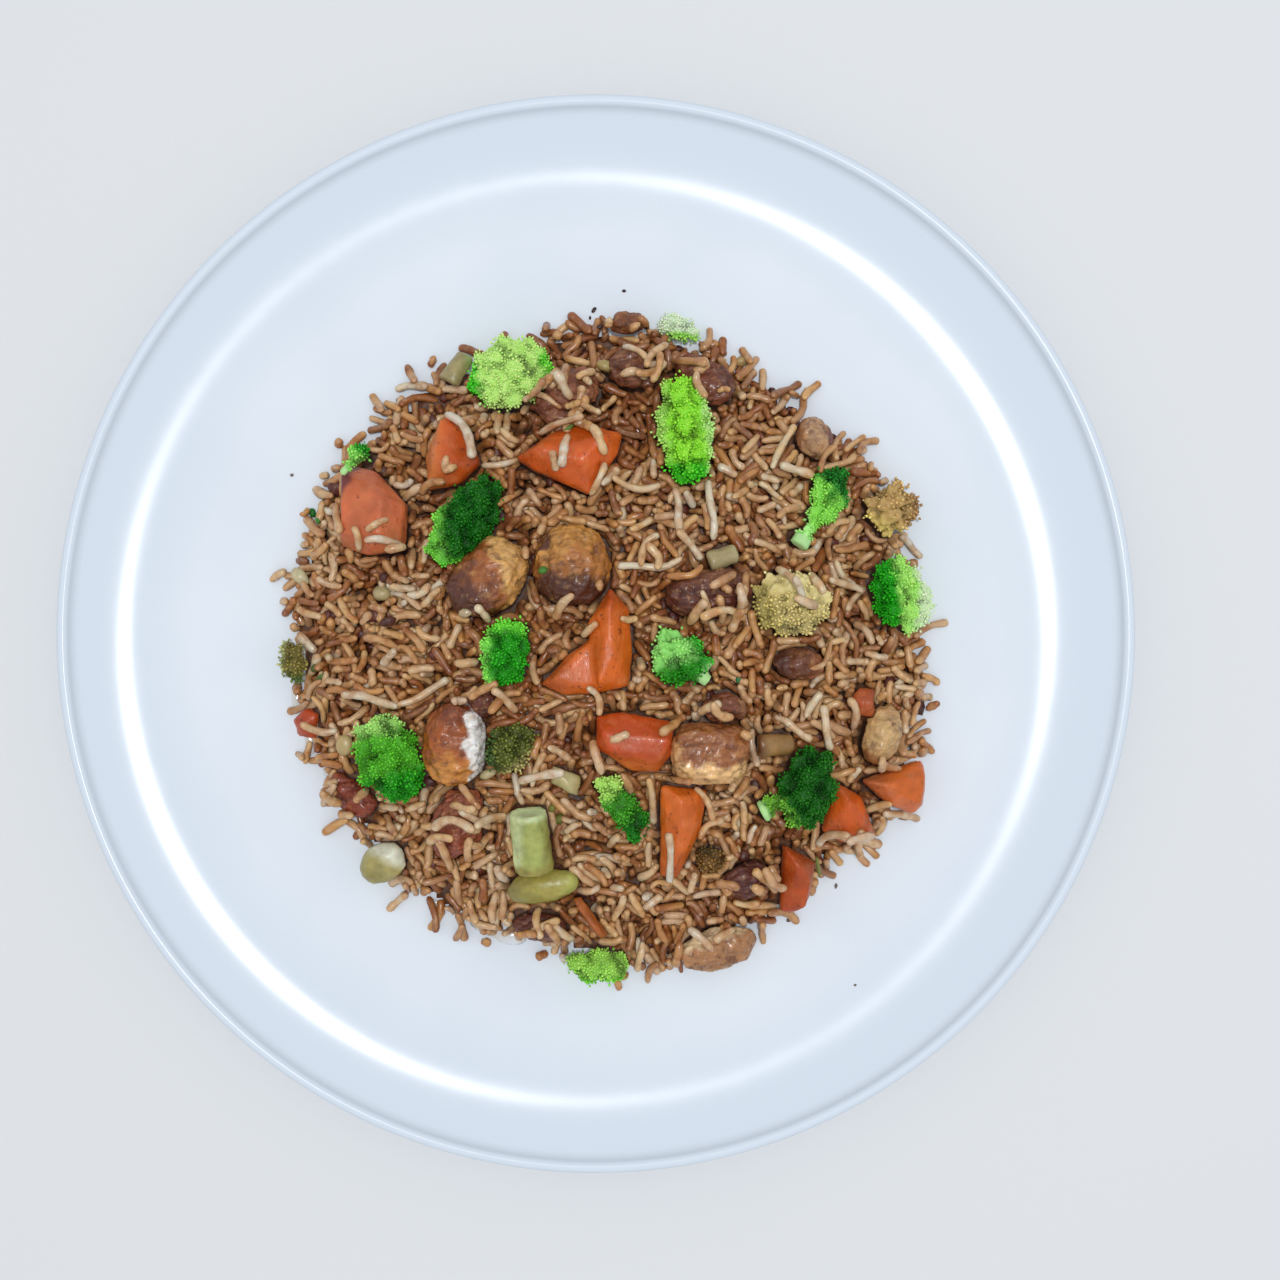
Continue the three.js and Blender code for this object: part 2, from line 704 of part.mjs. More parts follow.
// A grain that would cross a topping or the plate is tried again close by, or left out.
function freeGrain(random, place, core, toppings) {
  const tries = 6;
  const wellTop = PLATE.wellZ + GAP * 0.9;
  const leastHeld = 0.15; // share of the grain that is in the core
  for (let attempt = 0; attempt < tries; attempt += 1) {
    const spread = attempt * 1.5;
    const moved = {
      ...place,
      x: place.x + (random() - 0.5) * spread,
      y: place.y + (random() - 0.5) * spread,
      turn: place.turn + (random() - 0.5) * attempt,
    };
    const grain = grainSolid(random, moved);
    const crossed = toppings.some(
      ({ cutter }) => boxesMeet(cutter, grain) && !cutter.intersect(grain).isEmpty(),
    );
    const held = core.intersect(grain).volume() > leastHeld * grain.volume();
    if (!crossed && held && grain.boundingBox().min[2] > wellTop) {
      return grain;
    }
  }
  return null;
}

function riceSolid(core, toppings) {
  const random = seededRandom(77);
  const places = [
    ...Array.from({ length: GRAIN.atEdge }, (_, index) => edgePlace(random, index)),
    ...Array.from({ length: GRAIN.onTop }, (_, index) => topPlace(random, index)),
  ];
  const grains = places
    .map((place) => freeGrain(random, place, core, toppings))
    .filter((grain) => grain !== null);
  return largestBody(grains.reduce((heap, grain) => heap.add(grain), core));
}

// ---------------------------------------------------------------- the whole

function buildPlateOfRice() {
  const loose = allToppings();
  const boxes = loose.map(({ solid }) => solid.boundingBox());
  const within = (value, low, high) => value > low - 1 && value < high + 1;
  const bareSpot = (x, y) =>
    !boxes.some(({ min, max }) => within(x, min[0], max[0]) && within(y, min[1], max[1]));
  const core = toSolid(coreGeometry(bareSpot, 0));
  const coreCutter = toSolid(coreGeometry(bareSpot, GAP));
  const toppings = fitToppings(loose, coreCutter);

  const whole = new THREE.Group();
  whole.add(namedMesh('plate', plateGeometry(), COLOURS.plate));
  whole.add(namedMesh('rice', toGeometry(riceSolid(core, toppings)), COLOURS.rice));
  toppings.forEach(({ name, look, solid }) => whole.add(namedMesh(name, toGeometry(solid), look)));
  return whole;
}

export default buildPlateOfRice();
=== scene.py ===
"""The looks of a plate of fried rice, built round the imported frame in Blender 4.5.

Shapes are worked out in millimetres in the frame's axes and turned to metres when their object is
made. Every random draw is seeded, so each run gives the same plate.
"""

import itertools
import math

import bpy
import numpy as np
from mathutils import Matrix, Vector
from mathutils.bvhtree import BVHTree


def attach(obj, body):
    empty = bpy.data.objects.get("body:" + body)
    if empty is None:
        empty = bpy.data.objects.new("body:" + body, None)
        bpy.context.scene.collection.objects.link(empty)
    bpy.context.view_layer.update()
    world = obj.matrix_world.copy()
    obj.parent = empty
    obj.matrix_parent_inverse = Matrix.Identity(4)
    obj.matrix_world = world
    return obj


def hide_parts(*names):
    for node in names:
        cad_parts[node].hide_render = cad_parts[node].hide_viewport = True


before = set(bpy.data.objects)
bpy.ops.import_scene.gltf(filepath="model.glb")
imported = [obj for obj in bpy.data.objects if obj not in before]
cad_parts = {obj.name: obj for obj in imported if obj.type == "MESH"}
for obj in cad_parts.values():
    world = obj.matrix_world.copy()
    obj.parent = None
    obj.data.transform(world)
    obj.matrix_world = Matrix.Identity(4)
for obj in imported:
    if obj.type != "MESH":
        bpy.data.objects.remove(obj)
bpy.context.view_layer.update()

MM = 0.001

# ------------------------------------------------------------------ named values

CAMERA = {"place": (11.2, -1.6, 450.0), "focal_px": 1723.0, "image_px": 1280.0}
SENSOR = 36.0

LAMP = {"place": (54.0, 54.0, 1300.0), "diameter": 120.0, "watts": 7.0}
SKY = {"colour": (0.93, 0.96, 1.0), "strength": 0.62}
FLOOR = {"half": 6000.0, "colour": (226, 228, 230), "roughness": 0.9}

PLATE = {
    "radius": 136.6,
    "height": 15.0,
    "thickness": 4.0,
    "lip_width": 3.2,
    "well_z": 7.5,
    "well_radius": 106.7,
    "wall_arc": 67.0,
    "foot_inner": 80.0,
    "foot_outer": 84.5,
    "segments": 256,
    "arc_steps": 18,
}

HEAP = {
    "centre": (4.0, -2.0),
    "half": 97.0,  # of the square grid of heights
    "step": 0.4,
    "coarse_step": 0.8,
    "layer": 7.2,  # depth of loose grains over the dark core
    "relief": 2.1,  # slow ups and downs of the top
    "relief_width": 9.0,
    "pits": 3.2,  # how deep the hollows between clumps are
    "pit_width": 7.0,
    "least_depth": 1.5,
    "core_step": 1.6,
    "highest": 38.3,  # of anything that lies on a topping
}

GRAIN = {
    "most": 6300,
    "radius": (0.94, 1.3),
    "length": (4.4, 10.8),
    "length_spread": (2.0, 2.2),  # the two shape numbers of the random lengths
    "bow": 0.05,  # by the length, as the next two
    "strong_bow": 0.16,
    "wave": 0.022,
    "strong_bends": 0.36,
    "leaning": 0.36,
    "leaning_length": (2.3, 5.4),
    "lean": (0.5, 1.2),  # rise by length of those that lean
    "following": 0.4,  # the share that lies as its neighbours do
    "straying": 0.35,  # radians
    "patch": 8.0,
    "samples": 11,
    "aside": 0.55,  # where the sides of a grain are looked at, as a share of its radius
    "rings": 8,
    "sides": 8,
    "spots": 500,
    "tries": 90,
    "misses": 60,
    "chance": 0.5,  # how much luck there is in which grain is laid next
    "press": 0.6,  # how far grains press into what carries them
    "steepest": 0.9,
    "most_sag": 1.4,
    "on_topping": 0.34,
    "overhang": 0.55,
    "edge_height": 2.4,
    "most_room": 2.0,
    "air": 0.45,  # what a millimetre of air under a grain costs
    "least_room": -0.9,
    "bits_room": 0.4,
    "cover": 0.35,  # how far something stands over a grain that hides it
    "in_sight": 0.12,  # the share not hidden from which a grain counts as one that shows
}
NEVER = -10.0  # the score of a grain that may not be laid

BITS = {"count": 110, "radius": (0.8, 1.9), "spots": 30, "one_of": 6, "middle": 0.55, "top": 0.8}

# How many grains lie over toppings: square millimetres for each, and where, by their half size.
OVER_MEAT = {"area": 26.0, "reach": (0.35, 1.1)}
OVER_EDGES = {"area": 260.0, "reach": (1.0, 1.18)}
OVER = {"longest": 9.0, "tone": (0.25, 0.85), "on_bare": 0.1}


def srgb(red, green, blue):
    """A colour as a picture gives it, 0 to 255, as linear light."""
    values = np.array([red, green, blue], float) / 255.0
    return np.where(values <= 0.04045, values / 12.92, ((values + 0.055) / 1.055) ** 2.4)


# ------------------------------------------------------------------ numbers and shapes


def lattice_noise(points, size, seed):
    """Smooth noise from -1 to 1 whose bumps are about size millimetres across."""
    place = points / size + 31.7 * (seed % 13)
    base = np.floor(place).astype(np.int64)
    share = place - base
    share = share * share * (3 - 2 * share)
    total = np.zeros(len(points))
    for corner in itertools.product((0, 1), repeat=points.shape[1]):
        cell = base + np.array(corner)
        mixed = np.full(len(points), seed * 7919 + 17, np.int64)
        for axis in range(points.shape[1]):
            mixed = (mixed * 31 + cell[:, axis]) * 2654435 & 0xFFFFFFF
            mixed ^= mixed >> 13
        value = (mixed & 0xFFFF) / 0xFFFF
        total += value * np.prod(np.where(corner, share, 1 - share), axis=1)
    return total * 2 - 1


def fractal_noise(points, size, seed):
    """Noise from -1 to 1 with finer noise in it."""
    total = 0.55 * lattice_noise(points, size, seed)
    total += 0.3 * lattice_noise(points, size * 0.53, seed + 7)
    return total + 0.15 * lattice_noise(points, size * 0.27, seed + 13)


def smooth_step(low, high, value):
    share = np.clip((value - low) / (high - low), 0, 1)
    return share * share * (3 - 2 * share)


def mixed_colour(colours, other, share):
    """Rows of colours, moved towards another colour by each row's share."""
    return colours + (np.asarray(other) - colours) * np.asarray(share)[:, None]


def toward(points, degrees):
    """How far points lie in a level direction, given in degrees from +X towards +Y."""
    turn = math.radians(degrees)
    return points[:, 0] * math.cos(turn) + points[:, 1] * math.sin(turn)


def node_solid(node):
    """The points, in millimetres and merged where they meet, and the triangles of a CAD node."""
    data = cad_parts[node].data
    points = np.empty(len(data.vertices) * 3)
    data.vertices.foreach_get("co", points)
    data.calc_loop_triangles()
    corners = np.empty(len(data.loop_triangles) * 3, np.int32)
    data.loop_triangles.foreach_get("vertices", corners)
    merge = 1e-4
    keys = np.round(points.reshape(-1, 3) / MM / merge).astype(np.int64)
    unique, first = np.unique(keys, axis=0, return_inverse=True)
    return unique * merge, first.ravel()[corners].reshape(-1, 3)


def fill_mesh(data, points, faces):
    """Gives an empty mesh its points and its faces, which all have as many corners."""
    count, corners = faces.shape
    data.vertices.add(len(points))
    data.vertices.foreach_set("co", np.asarray(points, np.float32).ravel())
    data.loops.add(count * corners)
    data.loops.foreach_set("vertex_index", faces.astype(np.int32).ravel())
    data.polygons.add(count)
    data.polygons.foreach_set("loop_start", np.arange(0, count * corners, corners, dtype=np.int32))
    data.update(calc_edges=True)


def add_object(name, data, place=(0, 0, 0)):
    """An object of the scene, at a place in millimetres."""
    made = bpy.data.objects.new(name, data)
    made.location = Vector(place) * MM
    bpy.context.scene.collection.objects.link(made)
    return made


def remeshed(points, faces, voxel):
    """The same closed shape in even quads about voxel millimetres wide."""
    data = bpy.data.meshes.new("rough")
    fill_mesh(data, points, faces)
    rough = add_object("rough", data)
    remesh = rough.modifiers.new("even", "REMESH")
    remesh.mode = "VOXEL"
    remesh.voxel_size = voxel
    bpy.context.view_layer.update()
    even = rough.evaluated_get(bpy.context.evaluated_depsgraph_get()).to_mesh()
    places = np.empty(len(even.vertices) * 3)
    even.vertices.foreach_get("co", places)
    corners = np.empty(len(even.loops), np.int32)
    even.loops.foreach_get("vertex_index", corners)
    bpy.data.objects.remove(rough)
    bpy.data.meshes.remove(data)
    return places.reshape(-1, 3), corners.reshape(-1, 4)


def spread_over_faces(values, faces, count):
    """Sums rows of values, one row a face, over the points of the faces."""
    flat = faces.ravel()
    repeated = np.repeat(values, faces.shape[1], axis=0)
    columns = [np.bincount(flat, repeated[:, axis], count) for axis in range(values.shape[1])]
    return np.stack(columns, axis=1)


def unit(vectors):
    return vectors / np.maximum(np.linalg.norm(vectors, axis=-1, keepdims=True), 1e-9)


def point_normals(points, faces):
    """Unit normals of the points of a mesh of quads."""
    corners = points[faces]
    across = np.cross(corners[:, 2] - corners[:, 0], corners[:, 3] - corners[:, 1])
    return unit(spread_over_faces(across, faces, len(points)))


def smoothed(points, faces, rounds):
    """Moves each point half way to the middle of the faces round it, which rounds the edges off."""
    number = np.maximum(np.bincount(faces.ravel(), minlength=len(points)), 1)[:, None]
    for _ in range(rounds):
        middles = points[faces].mean(axis=1)
        points = points + 0.5 * (spread_over_faces(middles, faces, len(points)) / number - points)
    return points


def joined(parts):
    """One set of points, faces and tints from several, whose faces have as many corners."""
    starts = np.cumsum([0] + [len(points) for points, _, _ in parts])
    points = np.concatenate([part[0] for part in parts])
    faces = np.concatenate([part[1] + start for part, start in zip(parts, starts)])
    tints = np.concatenate([part[2] for part in parts])
    return points, faces, tints


def triangles(faces):
    """Quads as triangles."""
    return np.concatenate([faces[:, [0, 1, 2]], faces[:, [0, 2, 3]]])


def tube_faces(rings, sides):
    """Triangles of a tube, whose points go ring by ring, closed by a last point for each end."""
    ring = np.arange(rings - 1)[:, None] * sides
    side = np.arange(sides)
    after = (side + 1) % sides
    quads = np.stack([ring + side, ring + after, ring + sides + after, ring + sides + side], axis=2)
    last = (rings - 1) * sides
    caps = [
        np.stack([np.full(sides, rings * sides), after, side], axis=1),
        np.stack([np.full(sides, rings * sides + 1), last + side, last + after], axis=1),
    ]
    return np.concatenate([triangles(quads.reshape(-1, 4)), *caps])


def make_piece(name, points, faces, material, slot, node, tints=None):
    """A visible piece that rides with the plate and stands for a CAD node."""
    data = bpy.data.meshes.new(name)
    fill_mesh(data, np.asarray(points) * MM, faces)
    data.polygons.foreach_set("use_smooth", np.ones(len(faces), bool))
    if tints is not None:
        attribute = data.color_attributes.new(name="tint", type="FLOAT_COLOR", domain="POINT")
        opaque = np.ones((len(points), 4), np.float32)
        opaque[:, :3] = np.clip(tints, 0, 1)
        attribute.data.foreach_set("color", opaque.ravel())
    data.materials.append(material)
    piece = add_object(name, data)
    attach(piece, "root")
    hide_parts(node)


# ------------------------------------------------------------------ camera, light and floor


def add_camera():
    data = bpy.data.cameras.new("camera")
    data.sensor_width = SENSOR
    data.lens = SENSOR * CAMERA["focal_px"] / CAMERA["image_px"]
    data.clip_start = 0.01
    bpy.context.scene.camera = add_object("camera", data, CAMERA["place"])


def add_lamp():
    """A small soft lamp high over the plate: the glaze of the wall mirrors it as a thin ring."""
    data = bpy.data.lights.new("lamp", "AREA")
    data.shape = "DISK"
    data.size = LAMP["diameter"] * MM
    data.energy = LAMP["watts"]
    add_object("lamp", data, LAMP["place"])


def add_sky():
    world = bpy.data.worlds.new("sky")
    world.use_nodes = True
    background = world.node_tree.nodes["Background"]
    background.inputs["Color"].default_value = (*SKY["colour"], 1)
    background.inputs["Strength"].default_value = SKY["strength"]
    bpy.context.scene.world = world


def add_floor():
    half = FLOOR["half"]
    corners = np.array([[-half, -half, 0], [half, -half, 0], [half, half, 0], [-half, half, 0]])
    data = bpy.data.meshes.new("floor")
    fill_mesh(data, corners * MM, np.array([[0, 1, 2, 3]]))
    paint = Shader("floor_paint")
    paint.set(Base_Color=srgb(*FLOOR["colour"]), Roughness=FLOOR["roughness"])
    data.materials.append(paint.material)
    floor = add_object("floor", data)


# ------------------------------------------------------------------ materials


class Shader:
    """A short way to build the nodes of one material. A socket's spaces are written as _."""

    def __init__(self, name):
        self.material = bpy.data.materials.new(name)
        self.material.use_nodes = True
        self.tree = self.material.node_tree
        self.main = self.tree.nodes["Principled BSDF"]

    def put(self, socket, value):
        if isinstance(value, bpy.types.NodeSocket):
            self.tree.links.new(value, socket)
        elif hasattr(value, "__len__"):
            socket.default_value = (*value, 1) if len(socket.default_value) == 4 else value
        else:
            socket.default_value = value

    def fill(self, node, inputs):
        for name, value in inputs.items():
            self.put(node.inputs[name.replace("_", " ")], value)

    def set(self, **inputs):
        self.fill(self.main, inputs)

    def node(self, kind, **inputs):
        made = self.tree.nodes.new(kind)
        self.fill(made, inputs)
        return made

    def tint(self):
        node = self.tree.nodes.new("ShaderNodeAttribute")
        node.attribute_name = "tint"
        return node.outputs["Color"]

    def place(self, stretch=(1, 1, 1)):
        """The object's own coordinates in millimetres, stretched along its axes."""
        source = self.tree.nodes.new("ShaderNodeTexCoord").outputs["Object"]
        scale = [value / MM for value in stretch]
        return self.node("ShaderNodeMapping", Vector=source, Scale=scale).outputs["Vector"]

    def noise(self, width, detail=3.0, stretch=(1, 1, 1), roughness=0.55):
        """Noise from 0 to 1 with bumps about width millimetres wide."""
        made = self.node("ShaderNodeTexNoise", Vector=self.place(stretch), Scale=1 / width)
        self.fill(made, {"Detail": detail, "Roughness": roughness})
        return made.outputs["Fac"]

    def curve(self, value, low, high, to_low=0.0, to_high=1.0):
        made = self.node("ShaderNodeMapRange", Value=value, From_Min=low, From_Max=high)
        self.fill(made, {"To Min": to_low, "To Max": to_high})
        return made.outputs["Result"]

    def mix(self, share, first, second, blend="MIX"):
        made = self.tree.nodes.new("ShaderNodeMix")
        made.data_type = "RGBA"
        made.blend_type = blend
        first_colour, second_colour, mixed = made.inputs[6], made.inputs[7], made.outputs[2]
        self.put(made.inputs["Factor"], share)
        self.put(first_colour, first)
        self.put(second_colour, second)
        return mixed

    def patched(self, colour, other, noise, low, high, most=1.0, blend="MIX"):
        """A colour that turns to another, at most by a share, as a noise goes from low to high."""
        return self.mix(self.curve(noise, low, high, 0.0, most), colour, other, blend)

    def bump(self, height, depth, strength):
        made = self.node("ShaderNodeBump", Height=height, Strength=strength, Distance=depth * MM)
        return made.outputs["Normal"]


def glaze_material():
    """White glaze with a cool tone, very slightly uneven, and a little greyer on the wall as painted
    shade.
    """
    shader = Shader("glaze")
    cloud = shader.noise(40.0, detail=2.0)
    colour = shader.patched(srgb(224, 232, 241), srgb(229, 236, 244), cloud, 0.35, 0.65)
    radius = shader.tree.nodes.new("ShaderNodeVectorMath")
    radius.operation = "LENGTH"
    shader.put(radius.inputs[0], shader.place((1, 1, 0)))
    well = PLATE["well_radius"]
    # painted shade: the glaze turns greyer from the foot of the wall outwards
    colour = shader.patched(colour, srgb(217, 227, 238), radius.outputs["Value"], well - 4, well + 12)
    roughness = shader.curve(shader.noise(6.0), 0.3, 0.7, 0.12, 0.14)
    shader.set(Base_Color=colour, Specular_IOR_Level=0.1, Roughness=roughness)
    return shader.material


def rice_material():
    """Cooked rice stained by sauce: cloudy, wet, with darker smears and a warm glow inside."""
    shader = Shader("rice")
    stained = shader.mix(0.7, shader.tint(), srgb(204, 158, 110), "MULTIPLY")
    colour = shader.patched(shader.tint(), stained, shader.noise(2.6, detail=4.0), 0.46, 0.66)
    colour = shader.patched(colour, srgb(226, 208, 180), shader.noise(1.3), 0.56, 0.7, 0.25)
    colour = shader.patched(colour, srgb(110, 62, 32), shader.noise(0.8), 0.63, 0.72, 0.5)
    shader.set(Base_Color=colour, Roughness=shader.curve(shader.noise(1.4), 0.3, 0.7, 0.3, 0.5))
    shader.set(Subsurface_Weight=0.5, Subsurface_Scale=0.0012, Subsurface_Radius=(1.0, 0.6, 0.32))
    wet = shader.curve(shader.noise(3.0), 0.42, 0.6, 0.05, 0.45)
    shader.set(Coat_Weight=wet, Coat_Roughness=0.16)
    shader.set(Normal=shader.bump(shader.noise(0.6, detail=2.0), 0.06, 0.7))
    return shader.material


def bit_material():
    """Crumbs of fried meat and crusted sauce."""
    shader = Shader("fried_bits")
    crust = shader.noise(0.9, detail=4.0)
    shader.set(Base_Color=shader.patched(shader.tint(), srgb(54, 24, 16), crust, 0.35, 0.7))
    shader.set(Roughness=0.35, Normal=shader.bump(shader.noise(0.6), 0.25, 0.9))
    return shader.material


def painted_shade_core_material():
    """What is deep between the grains: crushed rice and sauce, coloured dark brown as painted shade so
    that the gaps between the grains look shadowed.
    """
    shader = Shader("rice_core_painted_shade")
    colour = shader.patched(srgb(56, 28, 12), srgb(116, 68, 34), shader.noise(1.6), 0.35, 0.7)
    shader.set(Base_Color=colour, Roughness=0.5)
    shader.set(Normal=shader.bump(shader.noise(1.2), 0.4, 0.8))
    return shader.material


def broccoli_material(name, roughness):
    """Buds and stalks: the tint says which, the noise makes each a little different."""
    shader = Shader(name)
    paler, cloud = srgb(226, 236, 120), shader.noise(0.9)
    colour = shader.patched(shader.tint(), paler, cloud, 0.4, 0.75, 0.25, "SOFT_LIGHT")
    shader.set(Base_Color=colour, Roughness=roughness, Specular_IOR_Level=0.3)
    shader.set(Subsurface_Weight=0.2, Subsurface_Scale=0.0008, Subsurface_Radius=(0.6, 1.0, 0.3))
    shader.set(Normal=shader.bump(shader.noise(0.35), 0.06, 0.6))
    return shader.material


def carrot_material():
    """Cut carrot, moist: fine fibres, paler spots and specks of sauce."""
    shader = Shader("carrot")
    fibre = shader.curve(shader.noise(0.9, stretch=(1, 0.3, 1)), 0.3, 0.7)
    spots, specks = shader.noise(3.5, detail=4.0), shader.noise(1.4, detail=5.0)
    colour = shader.patched(shader.tint(), srgb(222, 140, 84), spots, 0.5, 0.75, 0.3)
    colour = shader.patched(colour, srgb(104, 40, 12), specks, 0.63, 0.68, 0.7)
    shader.set(Base_Color=colour, Roughness=shader.curve(fibre, 0, 1, 0.32, 0.5))
    shader.set(Subsurface_Weight=0.25, Subsurface_Scale=0.0015, Coat_Weight=0.04)
    shader.set(Normal=shader.bump(fibre, 0.12, 0.8))
    return shader.material


def browned_material(name, width, dark, rough):
    """Fried food: fibres and blots of a darker crust over the tint, with a wet shine."""
    shader = Shader(name)
    fibre = shader.curve(shader.noise(width * 0.5, detail=4.0, stretch=(0.35, 1, 1)), 0.38, 0.68)
    blot = shader.curve(shader.noise(width * 1.4, detail=6.0, roughness=0.65), 0.54, 0.62, 0.0, 0.6)
    colour = shader.patched(shader.tint(), dark, fibre, 0, 1, 0.45)
    colour = shader.mix(blot, colour, dark)
    paler, cloud = srgb(214, 160, 100), shader.noise(width, detail=4.0)
    shader.set(Base_Color=shader.patched(colour, paler, cloud, 0.56, 0.7, 0.35))
    shader.set(Roughness=shader.curve(fibre, 0, 1, rough, rough + 0.2))
    shader.set(Coat_Weight=0.25, Coat_Roughness=0.18, Subsurface_Weight=0.15, Subsurface_Scale=0.001)
    shader.set(Normal=shader.bump(shader.mix(0.5, fibre, blot), 0.35, 0.9))
    return shader.material


def stem_material(name):
    """Moist stalk or onion with fine fibres."""
    shader = Shader(name)
    fibre, stain = shader.noise(1.1, stretch=(1, 1, 0.4)), srgb(120, 96, 50)
    colour = shader.patched(shader.tint(), stain, fibre, 0.42, 0.8, 0.24, "MULTIPLY")
    shader.set(Base_Color=colour, Roughness=0.36, Coat_Weight=0.1)
    shader.set(Subsurface_Weight=0.3, Subsurface_Scale=0.002)
    shader.set(Normal=shader.bump(fibre, 0.1, 0.5))
    return shader.material


# ------------------------------------------------------------------ the plate


def wall_height(radius, below):
    centre = PLATE["well_z"] + PLATE["wall_arc"]
    arc = PLATE["wall_arc"] + below
    return centre - math.sqrt(arc**2 - (radius - PLATE["well_radius"]) ** 2)


def wall_points(start, end, below):
    steps = PLATE["arc_steps"]
    radii = [start + (end - start) * step / steps for step in range(steps + 1)]
    return [(radius, wall_height(radius, below)) for radius in radii]


def lip_points():
    """The bead round the edge, from the outside of the wall over the top to the inside."""
    lip, steps = PLATE["lip_width"] / 2, 14
    middle = PLATE["radius"] - lip
    centre = PLATE["height"] - lip
    angles = [math.radians(-40 + 200 * step / steps) for step in range(steps + 1)]
    return [(middle + lip * math.cos(a), centre + lip * math.sin(a)) for a in angles]


def plate_profile():
    underside = PLATE["well_z"] - PLATE["thickness"]
    inner, outer = PLATE["foot_inner"], PLATE["foot_outer"]
    foot = [
        (30.0, underside),
        (60.0, underside),
        (inner - 1.6, underside),
        (inner - 0.6, underside - 0.6),
        (inner, 0.4),
        (inner + 0.5, 0.0),
        (outer - 0.5, 0.0),
        (outer, 0.4),
        (outer + 0.8, underside - 0.6),
        (outer + 2.0, underside),
    ]
    outside = wall_points(PLATE["well_radius"], PLATE["radius"] - 1.2, PLATE["thickness"])
    inside = wall_points(PLATE["radius"] - PLATE["lip_width"] - 0.3, PLATE["well_radius"], 0)
    well = [(radius, PLATE["well_z"]) for radius in (90.0, 60.0, 30.0)]
    return foot + outside + lip_points() + inside + well


def lathe(profile, middle_bottom, middle_top, segments):
    """Turns a profile of (radius, height) round +Z and closes it with a point at each end."""
    radii, heights = np.array(profile).T
    turn = np.arange(segments) / segments * 2 * np.pi
    x, y = np.outer(radii, np.cos(turn)), np.outer(radii, np.sin(turn))
    rings = np.stack([x, y, np.outer(heights, np.ones(segments))], axis=2)
    points = np.concatenate([rings.reshape(-1, 3), [[0, 0, middle_bottom], [0, 0, middle_top]]])
    return points, tube_faces(len(profile), segments)


def build_plate():
    underside = PLATE["well_z"] - PLATE["thickness"]
    points, faces = lathe(plate_profile(), underside, PLATE["well_z"], PLATE["segments"])
    make_piece("glazed_plate", points, faces, glaze_material(), "plate", "plate")


# ------------------------------------------------------------------ heights of the heap, from above


class Heights:
    """Heights in millimetres on a square grid seen from above."""

    def __init__(self, step):
        self.step = step
        self.low = np.array(HEAP["centre"]) - HEAP["half"]
        self.count = int(2 * HEAP["half"] / step)
        self.values = np.full((self.count, self.count), PLATE["well_z"])

    def places(self):
        """The x and y of the middles of all cells, each as a grid."""
        along = (np.arange(self.count) + 0.5) * self.step
        return np.meshgrid(self.low[0] + along, self.low[1] + along)

    def cells(self, x, y):
        column = ((x - self.low[0]) / self.step).astype(np.int64)
        row = ((y - self.low[1]) / self.step).astype(np.int64)
        return np.clip(row, 0, self.count - 1), np.clip(column, 0, self.count - 1)

    def at(self, x, y):
        return self.values[self.cells(x, y)]

    def drop_onto(self, points, faces):
        """Raises the cells under a solid to its top, and returns which cells it covers."""
        tree = BVHTree.FromPolygons(points.tolist(), faces.tolist())
        rows, columns = self.cells(points[:, 0], points[:, 1])
        covered = np.zeros_like(self.values, bool)
        down = Vector((0, 0, -1))
        for row in range(rows.min(), rows.max() + 1):
            y = self.low[1] + (row + 0.5) * self.step
            for column in range(columns.min(), columns.max() + 1):
                x = self.low[0] + (column + 0.5) * self.step
                hit = tree.ray_cast(Vector((x, y, 100.0)), down)[0]
                if hit is not None:
                    covered[row, column] = True
                    self.values[row, column] = max(self.values[row, column], hit.z)
        return covered


def blurred(values, cells):
    """A grid of values smoothed over a square of cells, three times."""
    size = 2 * cells + 1
    for _ in range(3):
        for axis in (0, 1):
            edges = [(cells, cells) if side == axis else (0, 0) for side in (0, 1)]
            total = np.cumsum(np.pad(values, edges, "edge"), axis=axis)
            first = np.take(total, [0], axis=axis) * 0
            total = np.concatenate([first, total], axis=axis)
            upper = np.take(total, range(size, total.shape[axis]), axis=axis)
            lower = np.take(total, range(0, total.shape[axis] - size), axis=axis)
            values = (upper - lower) / size
    return values


def target_heights():
    """Where the top of the grains should be, the same without ups and downs, and what is covered.

    It is the CAD heap, evened out, with slow ups and downs.
    """
    target, plain = Heights(HEAP["coarse_step"]), Heights(HEAP["coarse_step"])
    covered = target.drop_onto(*node_solid("rice"))
    plain.values = blurred(target.values, 2)
    x, y = target.places()
    places = np.stack([x.ravel(), y.ravel()], axis=1)
    width = HEAP["relief_width"]
    relief = HEAP["relief"] * (lattice_noise(places, width, 5) + 0.5 * lattice_noise(places, width / 2, 6))
    relief -= HEAP["pits"] * smooth_step(0.35, 0.75, lattice_noise(places, HEAP["pit_width"], 8))
    raised = np.maximum(plain.values + relief.reshape(x.shape), PLATE["well_z"] + HEAP["least_depth"])
    target.values = np.where(covered, raised, PLATE["well_z"])
    return target, plain, covered


# ------------------------------------------------------------------ balls


def icosahedron():
    """The points, one away from the middle, and the faces."""
    golden = (1 + 5**0.5) / 2
    points = []
    for first, second in itertools.product((-1, 1), (-golden, golden)):
        points += [(0, first, second), (first, second, 0), (second, 0, first)]
    points = np.array(points, float)
    points /= np.linalg.norm(points[0])
    side = min(np.linalg.norm(points[0] - other) for other in points[1:])
    faces = []
    for a, b, c in itertools.combinations(range(12), 3):
        lengths = [np.linalg.norm(points[p] - points[q]) for p, q in ((a, b), (b, c), (c, a))]
        if max(lengths) < side * 1.01:
            outward = np.dot(np.cross(points[b] - points[a], points[c] - points[a]), points[a]) > 0
            faces.append((a, b, c) if outward else (a, c, b))
    return points, faces


